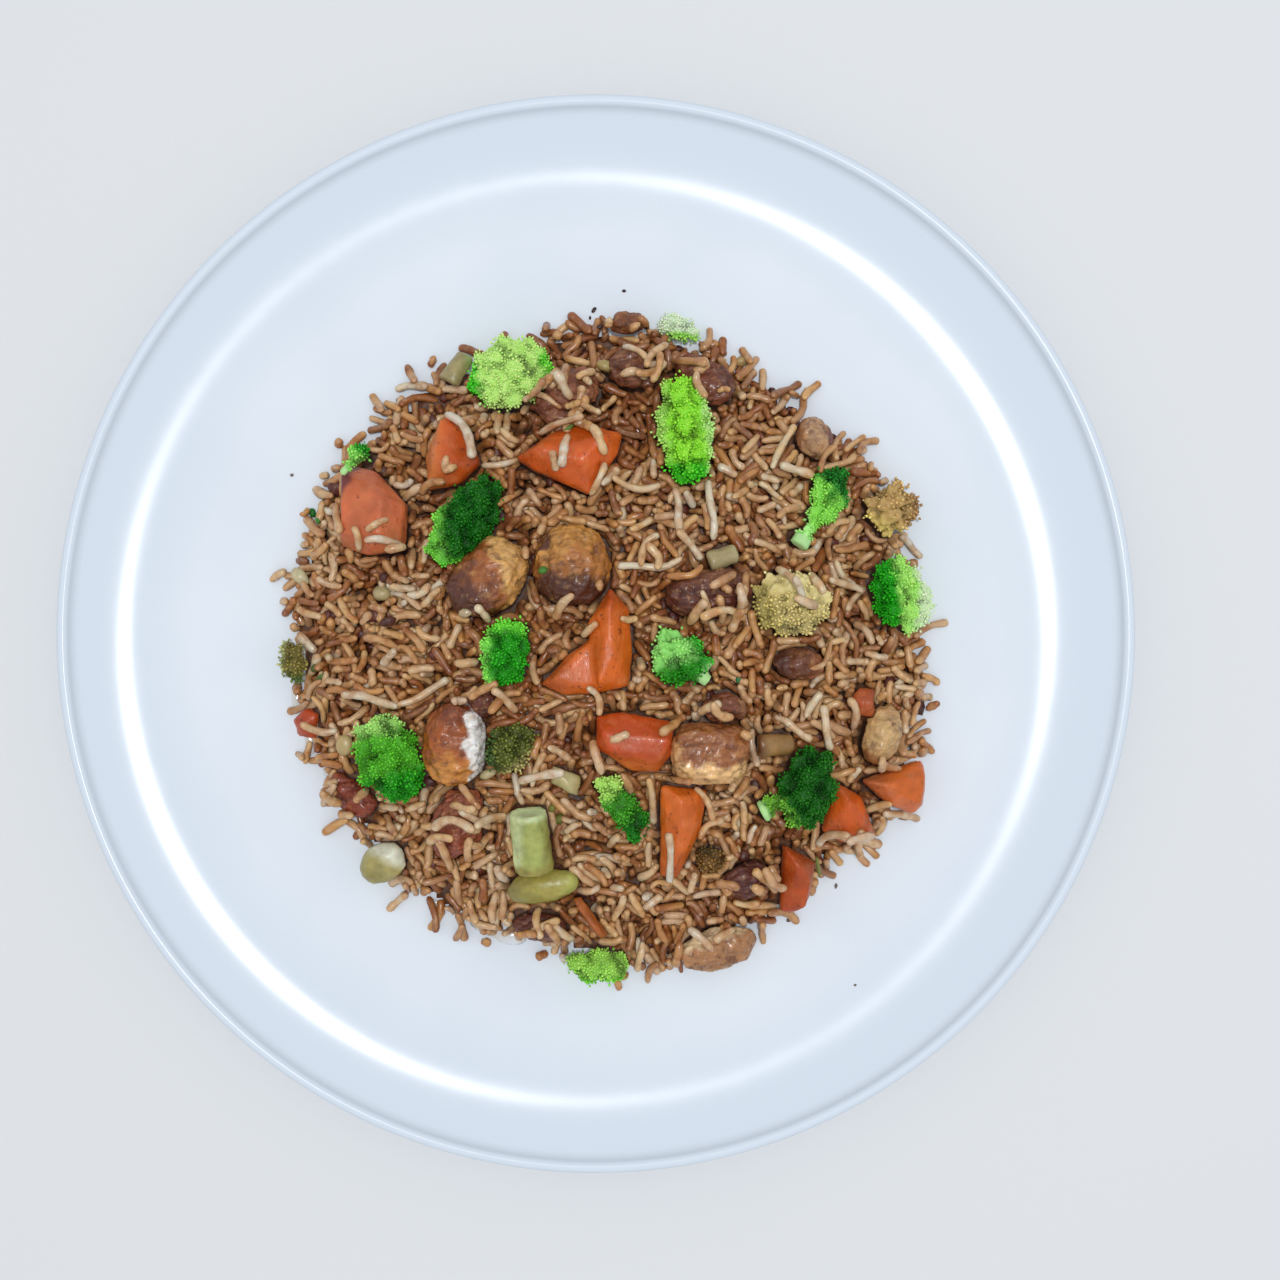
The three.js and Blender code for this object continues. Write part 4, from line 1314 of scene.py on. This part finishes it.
OIL = [
    (398, 868, 4.5, 2.0, -32),
    (416, 888, 3.2, 1.6, -40),
    (436, 908, 3.0, 1.6, -40),
    (486, 930, 5.0, 2.0, -24),
    (510, 938, 4.2, 1.8, -8),
    (296, 700, 1.2, 4.0, 8),
    (308, 742, 1.2, 4.0, 20),
    (328, 780, 1.0, 3.6, 34),
    (350, 812, 1.2, 4.0, 36),
    (322, 536, 1.6, 2.6, 10),
]


def scrap(heap, pixel_x, pixel_y, sizes, turn, seed, uneven):
    """An uneven flattened ball that sits on what is under the pixel it is seen at."""
    shape, faces = BALL
    x, y, height = seen_on(heap, pixel_x, pixel_y, PLATE["well_z"])
    points = shape * np.array(sizes)
    points *= 1 + uneven * fractal_noise(shape + seed, 0.9, 71)[:, None]
    cos, sin = math.cos(math.radians(turn)), math.sin(math.radians(turn))
    along, across = points[:, 0], points[:, 1]
    turned = np.stack([along * cos - across * sin, along * sin + across * cos, points[:, 2]], axis=1)
    return turned + np.array([x, y, height + SCRAP["middle"] * sizes[2]]), faces


def build_scraps(heap):
    materials = {
        "dark_crumbs": (bit_material(), "meat"),
        "green_crumbs": (broccoli_material("green_crumbs", 0.5), "fresh_broccoli"),
        "onion_scraps": (stem_material("onion"), "stem"),
    }
    for name, rows in SCRAPS.items():
        parts = []
        for seed, (pixel_x, pixel_y, sizes, turn, colour) in enumerate(rows):
            points, faces = scrap(heap, pixel_x, pixel_y, sizes, turn, seed, SCRAP["uneven"])
            shade = 1 + 0.2 * fractal_noise(points, 1.2, seed)
            parts.append((points, faces, srgb(*colour) * shade[:, None]))
        points, faces, tints = joined(parts)
        make_piece(name, points, faces, *materials[name], "rice", tints)


def oil_material():
    """A thin wet film on the glaze: nearly its colour, a little warmer, and much glossier."""
    shader = Shader("oil")
    colour = shader.patched(srgb(220, 226, 232), srgb(214, 214, 210), shader.noise(3.0), 0.35, 0.65)
    shader.set(Base_Color=colour, Roughness=shader.curve(shader.noise(2.0), 0.3, 0.7, 0.04, 0.1))
    shader.set(Normal=shader.bump(shader.noise(1.6), 0.12, 0.6))
    return shader.material


def build_oil(heap):
    parts = []
    for seed, (pixel_x, pixel_y, along, across, turn) in enumerate(OIL):
        sizes = (along, across, OIL_FILM["height"])
        points, faces = scrap(heap, pixel_x, pixel_y, sizes, turn, seed, OIL_FILM["uneven"])
        points[:, 2] += PLATE["well_z"] - OIL_FILM["sunk"] - points[:, 2].min()
        parts.append((points, faces, np.ones((len(points), 3))))
    points, faces, _ = joined(parts)
    make_piece("oil_film", points, faces, oil_material(), "rice", "rice")


# ------------------------------------------------------------------ cut and browned pieces

# The colours of the nodes of each kind, in the order of their numbers. Each has its middle colour,
# then patches: the direction in degrees from +X towards +Y, where the patch begins and where it is
# full, as shares of the piece's half size, and the colour.

LOOKS = {
    "carrot": [
        [(192, 82, 20), (180, 0.1, 0.7, (206, 114, 48)), (20, 0.3, 0.9, (164, 62, 12))],
        [(200, 86, 16), (200, 0.2, 0.9, (184, 76, 20))],
        [(200, 104, 62), (-90, 0.3, 0.9, (184, 96, 54)), (150, 0.75, 0.95, (110, 50, 46))],
        [(206, 96, 18), (180, 0.1, 0.8, (176, 80, 22)), (90, 0.5, 0.9, (168, 68, 14))],
        [(186, 70, 6), (-90, 0.3, 0.9, (200, 98, 30))],
        [(204, 98, 22), (-90, 0.3, 0.9, (188, 86, 24))],
        [(198, 86, 20), (0, 0.3, 0.9, (182, 84, 30))],
        [(202, 98, 26), (180, 0.0, 0.8, (196, 106, 58))],
        [(176, 72, 18), (0, 0.3, 0.9, (166, 78, 34))],
        [(182, 68, 20), (0, 0.3, 0.9, (170, 66, 24))],
        [(168, 78, 34), (0, 0.3, 0.9, (150, 64, 24))],
        [(166, 88, 32), (0, 0.3, 0.9, (150, 80, 30))],
    ],
    "tofu": [
        [
            (160, 92, 40), (30, 0.25, 0.45, (222, 172, 100)), (-15, 0.5, 0.75, (216, 160, 88)),
            (225, 0.1, 0.55, (88, 44, 28)),
        ],
        [
            (176, 110, 44), (110, 0.1, 0.5, (206, 146, 70)), (265, 0.05, 0.4, (78, 36, 16)),
            (150, 0.75, 0.95, (90, 46, 20)),
        ],
        [
            (164, 84, 28), (-90, 0.1, 0.5, (212, 140, 60)), (70, 0.3, 0.7, (132, 62, 24)),
            (8, 0.42, 0.52, (236, 234, 228)),
        ],
        [(156, 94, 48), (-90, 0.22, 0.4, (230, 184, 124)), (180, 0.6, 0.85, (208, 160, 104))],
        [(190, 148, 108), (0, 0.5, 0.8, (124, 66, 40)), (180, 0.3, 0.8, (160, 108, 70))],
        [(206, 168, 112), (90, 0.3, 0.9, (196, 152, 100)), (-100, 0.6, 0.9, (150, 96, 50))],
        [(178, 126, 80), (120, 0.3, 0.6, (222, 194, 150)), (-60, 0.6, 0.9, (212, 176, 128))],
        [(104, 54, 28), (0, 0.2, 0.8, (150, 92, 56)), (180, 0.3, 0.8, (68, 32, 20))],
    ],
    "meat": [
        [(146, 84, 52), (180, 0.1, 0.9, (112, 58, 36))],
        [(100, 46, 28), (90, 0.2, 0.8, (128, 74, 44))],
        [(116, 62, 34), (90, 0.2, 0.9, (150, 94, 58))],
        [(122, 60, 32), (0, 0.2, 0.9, (100, 50, 30))],
        [(134, 76, 38), (90, 0.2, 0.9, (154, 98, 58))],
        [(88, 34, 26), (180, 0.2, 0.9, (116, 60, 38))],
        [(152, 76, 48), (90, 0.2, 0.9, (164, 88, 56))],
        [(142, 58, 32), (180, 0.2, 0.9, (160, 84, 48))],
        [(104, 50, 30), (180, 0.2, 0.9, (144, 88, 62))],
        [(124, 64, 34), (0, 0.2, 0.9, (142, 94, 60))],
        [(104, 50, 34), (-90, 0.2, 0.9, (136, 82, 52))],
    ],
    "stem": [
        # stem_01: the paler patch towards -X is a painted highlight, and the darker one towards +X is
        # painted shade.
        [
            (166, 174, 94), (180, 0.2, 0.6, (196, 206, 146)), (0, 0.35, 0.8, (144, 144, 74)),
            (90, 0.55, 0.8, (204, 220, 164)), (-90, 0.5, 0.9, (150, 140, 66)),
        ],
        [(158, 148, 72), (0, 0.3, 0.9, (164, 166, 84)), (180, 0.3, 1.0, (140, 128, 70))],
        [(172, 160, 96), (60, 0.0, 0.6, (214, 214, 190)), (240, 0.3, 0.8, (158, 146, 78))],
        [(166, 152, 108), (0, 0.3, 0.9, (178, 172, 130))],
        [(164, 150, 104), (0, 0.3, 0.9, (146, 160, 96))],
        [(184, 172, 122), (0, 0.3, 0.9, (170, 152, 100))],
        [(148, 112, 62), (180, 0.3, 0.9, (112, 72, 38))],
    ],
    "fresh_floret": [
        [(196, 240, 134), (190, 0.6, 0.9, (60, 190, 30)), (0, 0.62, 0.9, (96, 190, 50))],
        [
            (150, 228, 58), (180, 0.4, 0.8, (164, 218, 104)), (-90, 0.45, 0.8, (52, 172, 18)),
            (10, 0.5, 0.8, (168, 214, 124)),
        ],
        [(6, 92, 4), (190, 0.3, 0.7, (112, 196, 66)), (-90, 0.7, 0.95, (90, 190, 50))],
        [(24, 142, 10), (180, 0.4, 0.8, (120, 206, 80)), (90, 0.4, 0.8, (104, 206, 56))],
        [(140, 212, 110), (-70, 0.0, 0.4, (30, 132, 14)), (20, 0.25, 0.6, (46, 150, 36))],
        [(76, 164, 32), (100, 0.4, 0.8, (156, 210, 110)), (-80, 0.2, 0.6, (22, 136, 8))],
        [(56, 136, 26), (115, 0.35, 0.8, (176, 224, 110)), (-60, 0.3, 0.8, (14, 110, 10))],
        [(8, 88, 2), (215, 0.35, 0.7, (112, 176, 56))],
        [(140, 220, 86), (50, 0.45, 0.75, (16, 110, 24)), (200, 0.2, 0.8, (170, 236, 140))],
        [(168, 230, 112), (190, 0.0, 0.3, (12, 146, 2)), (0, 0.2, 0.6, (216, 240, 196))],
        [(148, 202, 84), (-90, 0.3, 0.9, (108, 190, 50))],
        [(222, 244, 208), (-90, 0.3, 0.8, (150, 214, 90))],
        [(132, 206, 92), (60, 0.4, 0.9, (30, 140, 20))],
    ],
    "cooked_floret": [
        [(92, 100, 40), (-60, 0.3, 0.9, (160, 150, 96)), (190, 0.4, 0.9, (62, 88, 40))],
        [(208, 190, 128), (200, 0.2, 0.8, (182, 166, 98)), (60, 0.0, 0.7, (222, 208, 152))],
        [(184, 150, 98), (-120, 0.2, 0.8, (196, 170, 100)), (0, 0.4, 0.9, (158, 118, 80))],
        [(126, 114, 56), (180, 0.3, 0.9, (150, 152, 104)), (-90, 0.3, 0.9, (80, 100, 48))],
        [(122, 88, 46), (90, 0.3, 0.9, (96, 76, 40))],
    ],
}


# How each kind is shaped from its solids: the width of its quads, rounds of smoothing, how ragged
# its patches of colour are, and its relief as (kind, width, height).

CUT = {
    "carrot": {
        "voxel": 0.7,
        "rounding": 1,
        "ragged": 0.16,
        "bumps": [("round", 5.0, 0.35), ("round", 1.8, 0.16)],
    },
    "tofu": {
        "voxel": 0.5,
        "rounding": 2,
        "ragged": 0.45,
        "bumps": [("round", 6.0, 0.9), ("ridged", 3.0, 0.6), ("fibres", 1.3, 0.3)],
    },
    "meat": {
        "voxel": 0.5,
        "rounding": 2,
        "ragged": 0.3,
        "bumps": [("round", 4.5, 1.6), ("fibres", 2.6, 0.7), ("fibres", 1.1, 0.5)],
    },
    "stem": {
        "voxel": 0.6,
        "rounding": 4,
        "ragged": 0.2,
        "bumps": [("round", 4.0, 0.5), ("fibres", 1.6, 0.12)],
    },
}


def node_seed(node):
    """A whole number of its own for each node's name."""
    return sum(ord(letter) * (place + 1) for place, letter in enumerate(node)) % 997


def shares_of_half(points, low, high):
    """Where points are in a box: from -1 to 1 along each side."""
    return (points - (low + high) / 2) / ((high - low) / 2)


def zone_tints(points, low, high, look, ragged):
    """Colours of points from a middle colour and patches, with ragged edges, towards some sides."""
    place = shares_of_half(points, low, high)
    tints = np.tile(srgb(*look[0]), (len(points), 1))
    for count, (degrees, start, end, colour) in enumerate(look[1:]):
        along = toward(place, degrees) + ragged * fractal_noise(points, 3.0, 50 + count)
        tints = mixed_colour(tints, srgb(*colour), smooth_step(start, end, along))
    return tints


def along_grain(points, seed):
    """Points squeezed along one level direction of their own, so noise on them runs in fibres."""
    turn = seed % 180 / 180 * np.pi
    cos, sin = math.cos(turn), math.sin(turn)
    along = points[:, 0] * cos + points[:, 1] * sin
    across = points[:, 1] * cos - points[:, 0] * sin
    return np.stack([along * 0.3, across, points[:, 2]], axis=1)


def rough_piece(node, voxel, rounding, bumps):
    """A node's shape with rounded edges and relief, and how far each point is raised.

    Bumps are (kind, width, height) in millimetres; the kind is round, ridged or fibres.
    """
    points, faces = remeshed(*node_solid(node), voxel)
    points = smoothed(points, faces, rounding)
    normals = point_normals(points, faces)
    seed = node_seed(node)
    relief = np.zeros(len(points))
    for turn, (kind, width, height) in enumerate(bumps):
        places = along_grain(points, seed) if kind == "fibres" else points
        noise = fractal_noise(places, width, seed + turn)
        relief += height * (noise if kind == "round" else 0.6 - 2.4 * np.abs(noise))
    return points + normals * relief[:, None], faces, relief


def dress(kind, material, voxel, rounding, ragged, bumps):
    """Makes the pieces of one kind of topping, and returns their points and faces."""
    made = []
    deepest = sum(height for _, _, height in bumps)
    for number, look in enumerate(LOOKS[kind], 1):
        node = f"{kind}_{number:02d}"
        points, faces, relief = rough_piece(node, voxel, rounding, bumps)
        tints = zone_tints(points, points.min(axis=0), points.max(axis=0), look, ragged)
        shade = 1 + 0.16 * fractal_noise(points, 2.5, node_seed(node) + 40)
        # painted shade: darker in the hollows of the relief, lighter on its bumps
        shade = shade * (1 + 0.45 * np.clip(relief / deepest, -1, 0.6))
        name = f"{kind}_piece_{number:02d}"
        make_piece(name, points, faces, material, kind, node, tints * shade[:, None])
        made.append((points, faces))
    return made


def build_cut_pieces():
    """The carrots, tofu, meat and stems, as points and faces under the name of their slot."""
    materials = {
        "carrot": carrot_material(),
        "tofu": browned_material("browned_tofu", 2.6, srgb(84, 36, 16), 0.3),
        "meat": browned_material("fried_meat", 1.6, srgb(58, 24, 16), 0.42),
        "stem": stem_material("stem"),
    }
    return {kind: dress(kind, material, **CUT[kind]) for kind, material in materials.items()}


# ------------------------------------------------------------------ broccoli

# By node: the direction of the stalk in degrees, and how far from the middle it begins.
STALKS = {
    "fresh_floret_05": (-35, 6.6),
    "fresh_floret_08": (210, 8.8),
    "fresh_floret_09": (238, 8.0),
    "fresh_floret_13": (225, 2.6),
}

# By node: the direction in which the buds thin out, and where that begins and ends, as shares of
# the half size.
BALD = {
    "fresh_floret_05": (140, 0.0, 0.6),
    "fresh_floret_09": (215, 0.0, 0.6),
    "cooked_floret_02": (70, -0.3, 0.3),
    "cooked_floret_03": (200, -0.9, -0.3),
}

CROWN = {
    "voxel": 0.55,
    "rounding": 2,
    "ragged": 0.3,
    "patch": 3.0,
    "small_height": 0.7,  # of the small lobes on the lobes
    "outward": 0.45,  # how far lobes stand out of the node's solid
    "full_width": 15.0,  # of a floret from which its lobes have their full height
    "tuft": 1.6,
    "strays": 0.1,  # the share of buds that stand well out of the rest
    "brightest": 0.86,
}

FRESH_STYLE = {
    "slot": "fresh_broccoli",
    "bud": (0.26, 0.46),
    "spacing": 0.56,
    "tries": 9000,
    "lobe": 4.6,
    "lobe_height": 1.6,
    "small_lobe": 2.1,
    # under: painted shade, how far the crown is darkened under its buds
    "under": 0.88,  # how light the crown under the buds is
    "tip": (170, 222, 120),
    "stalk": (176, 222, 152),
}

COOKED_STYLE = {
    "slot": "cooked_broccoli",
    "bud": (0.26, 0.55),
    "spacing": 0.68,
    "tries": 5000,
    "lobe": 3.8,
    "lobe_height": 1.5,
    "small_lobe": 1.9,
    "under": 0.7,
    "tip": (200, 180, 110),
    "stalk": (176, 160, 104),
}


def spaced_points(points, spacing, random):
    """Numbers of points at least a spacing apart, in a random order."""
    cell = np.floor(points / spacing).astype(int)
    taken = {}
    kept = []
    around = list(itertools.product((-1, 0, 1), repeat=3))
    for index in random.permutation(len(points)):
        key = tuple(cell[index])
        near = [
            other
            for shift in around
            for other in taken.get((key[0] + shift[0], key[1] + shift[1], key[2] + shift[2]), ())
        ]
        if near:
            gaps = points[near] - points[index]
            if (gaps**2).sum(axis=1).min() < spacing**2:
                continue
        taken.setdefault(key, []).append(index)
        kept.append(index)
    return np.array(kept)


def scattered_on(points, faces, values, number, random):
    """Random places on a mesh of quads, spread evenly by area, their normals and values."""
    normals = point_normals(points, faces)
    corners = triangles(faces)
    edges = points[corners[:, 1:]] - points[corners[:, [0]]]
    area = np.linalg.norm(np.cross(edges[:, 0], edges[:, 1]), axis=1)
    chosen = corners[random.choice(len(corners), number, p=area / area.sum())]
    share = random.dirichlet((1, 1, 1), number)[:, :, None]
    upright = unit((normals[chosen] * share).sum(axis=1))
    return (points[chosen] * share).sum(axis=1), upright, (values[chosen] * share[:, :, 0]).sum(axis=1)


def buds(places, normals, radii, tints, random):
    """Small beads that stand on a surface, longer outwards, brighter at their tips and darker at their
    bases as painted shade.
    """
    points = np.array([(1, 0, 0), (0, 1, 0), (-1, 0, 0), (0, -1, 0), (0, 0, 1), (0, 0, -1)], float)
    rim = [(corner, (corner + 1) % 4) for corner in range(4)]
    faces = np.array([(a, b, 4) for a, b in rim] + [(b, a, 5) for a, b in rim])
    count = len(places)
    side = unit(np.cross(normals, random.normal(size=(count, 3))))
    thick, length = radii[:, None], random.uniform(1.0, 1.6, (count, 1))
    axes = [side * thick, np.cross(normals, side) * thick, normals * thick * length]
    skin = sum(points[None, :, [k]] * axes[k][:, None, :] for k in range(3)) + places[:, None, :]
    # painted shade: each bud darker towards its base
    shade = 0.86 + 0.24 * smooth_step(-0.5, 1.0, points[:, 2])
    colour = tints[:, None, :] * shade[None, :, None]
    all_faces = faces[None] + (np.arange(count) * len(points))[:, None, None]
    return skin.reshape(-1, 3), all_faces.reshape(-1, 3), colour.reshape(-1, 3)


def stalk_share(points, low, high, node):
    """How far each point belongs to the stalk rather than the crown."""
    if node not in STALKS:
        return np.zeros(len(points))
    degrees, start = STALKS[node]
    return smooth_step(start - 0.8, start + 0.8, toward(points - (low + high) / 2, degrees))


def bald_share(points, low, high, node):
    """How far each point of a crown is bare of buds."""
    if node not in BALD:
        return np.zeros(len(points))
    degrees, start, end = BALD[node]
    along = toward(shares_of_half(points, low, high), degrees)
    return 0.94 * smooth_step(start, end, along + 0.5 * fractal_noise(points, 3.0, 60))


def lobe_domes(points, width, seed):
    """How far points stand on round lobes: 1 on their middles, below 0 in the clefts between."""
    random = np.random.default_rng(seed)
    centres = points[spaced_points(points, width, random)]
    far = np.full(len(points), np.inf)
    for centre in centres:
        far = np.minimum(far, ((points - centre) ** 2).sum(axis=1))
    return 1 - np.minimum(np.sqrt(far) / (0.62 * width), 1.4) ** 2


def crown_shape(node, style):
    """The points, faces, share of stalk and lobes of a floret, without its buds."""
    seed = node_seed(node)
    points, faces = remeshed(*node_solid(node), CROWN["voxel"])
    points = smoothed(points, faces, CROWN["rounding"])
    low, high = points.min(axis=0), points.max(axis=0)
    share = stalk_share(points, low, high, node)
    lobes = lobe_domes(points, style["lobe"], seed)
    small = lobe_domes(points, style["small_lobe"], seed + 1)
    rise = style["lobe_height"] * (lobes - 1) + CROWN["small_height"] * (small - 1)
    slender = min(1.0, (high - low)[:2].min() / CROWN["full_width"])
    rise = slender * (rise + CROWN["outward"])
    raised = points + point_normals(points, faces) * (rise * (1 - share))[:, None]
    floor, top = low[2], high[2] - style["bud"][1]
    raised[:, 2] = floor + (raised[:, 2] - floor) * (top - floor) / (raised[:, 2].max() - floor)
    return raised, faces, share, lobes + 0.4 * small


def crown_tints(points, box, node, look, style, share, lobes):
    """The colours of a crown under its buds, with painted shade under the buds and in its clefts, and of
    its stalk.
    """
    bald = bald_share(points, *box, node)
    tints = zone_tints(points, *box, look, CROWN["ragged"])
    # painted shade: darker under the buds, except where they are sparse
    tints = tints * (style["under"] + (1 - style["under"]) * bald)[:, None]
    # painted shade: darker in the clefts between the lobes
    tints = tints * (0.5 + 0.6 * smooth_step(-0.7, 0.8, lobes + 0.4 * bald))[:, None]
    return mixed_colour(tints, srgb(*style["stalk"]), share)


def bud_places(points, faces, box, node, style, lobes, random):
    """Where the buds of a crown stand, their normals, and how far they are on lobes."""
    places, upright, on_lobe = scattered_on(points, faces, lobes, style["tries"], random)
    from_stalk, bald = stalk_share(places, *box, node), bald_share(places, *box, node)
    grow = (from_stalk < 0.5) & (upright[:, 2] > -0.4) & (bald < random.random(len(places)))
    places, upright, on_lobe = places[grow], upright[grow], on_lobe[grow]
    chosen = spaced_points(places, style["spacing"], random)
    return places[chosen], upright[chosen], on_lobe[chosen]


def bud_tints(places, box, look, style, on_lobe, seed):
    """The colours of buds, paler on the lobes, and darker in the clefts between them as painted shade."""
    tints = zone_tints(places, *box, look, CROWN["ragged"])
    patch = np.clip(2 * fractal_noise(places, CROWN["patch"], seed + 5), -1, 1)
    paler = tints * 1.45 + srgb(*style["tip"]) * (0.02 + 0.25 * tints.mean(axis=1))[:, None]
    paler = paler * np.minimum(1, CROWN["brightest"] / paler.max(axis=1))[:, None]
    tints = mixed_colour(tints, paler, smooth_step(0.3, 1.3, on_lobe + 0.4 * patch))
    # painted shade: buds in the clefts are darker
    return tints * (0.42 + 0.7 * smooth_step(-0.7, 0.6, on_lobe + 0.3 * patch))[:, None]


def build_floret(node, look, style, material):
    """A floret: a crown of lobes covered in buds, and its stalk."""
    seed = node_seed(node)
    random = np.random.default_rng(seed)
    points, faces, share, lobes = crown_shape(node, style)
    box = points.min(axis=0), points.max(axis=0)
    crown = (points, triangles(faces), crown_tints(points, box, node, look, style, share, lobes))
    places, upright, on_lobe = bud_places(points, faces, box, node, style, lobes, random)
    count = len(places)
    radii = random.uniform(*style["bud"], count)
    tufts = 0.45 + 0.9 * lattice_noise(places, CROWN["tuft"], seed + 3)
    strays = 2.0 * (random.random(count) < CROWN["strays"]) * (upright[:, 2] < 0.6)
    rise = radii * (tufts + random.uniform(0, 0.8, count) + strays)
    places = places + upright * rise[:, None]
    tints = bud_tints(places, box, look, style, on_lobe, seed)
    # painted light: buds that stand higher on their tufts are made lighter
    tints = tints * random.uniform(0.85, 1.15, (count, 1)) * (1 + 0.2 * tufts)[:, None]
    upright = unit(upright + random.normal(0, 0.3, (count, 3)))
    all_points, all_faces, all_tints = joined([crown, buds(places, upright, radii, tints, random)])
    name = node.replace("floret", "broccoli")
    make_piece(name, all_points, all_faces, material, style["slot"], node, all_tints)
    return points, faces


def build_broccoli():
    made = []
    for kind, style, roughness in (("fresh", FRESH_STYLE, 0.55), ("cooked", COOKED_STYLE, 0.5)):
        material = broccoli_material(kind + "_broccoli", roughness)
        for number, look in enumerate(LOOKS[kind + "_floret"], 1):
            made.append(build_floret(f"{kind}_floret_{number:02d}", look, style, material))
    return made


def build_scene():
    bpy.context.scene.view_settings.view_transform = "Standard"
    add_camera()
    add_lamp()
    add_sky()
    add_floor()
    build_plate()
    cut = build_cut_pieces()
    broccoli = build_broccoli()
    heap = build_rice(cut, broccoli)
    build_scraps(heap)
    build_oil(heap)


build_scene()
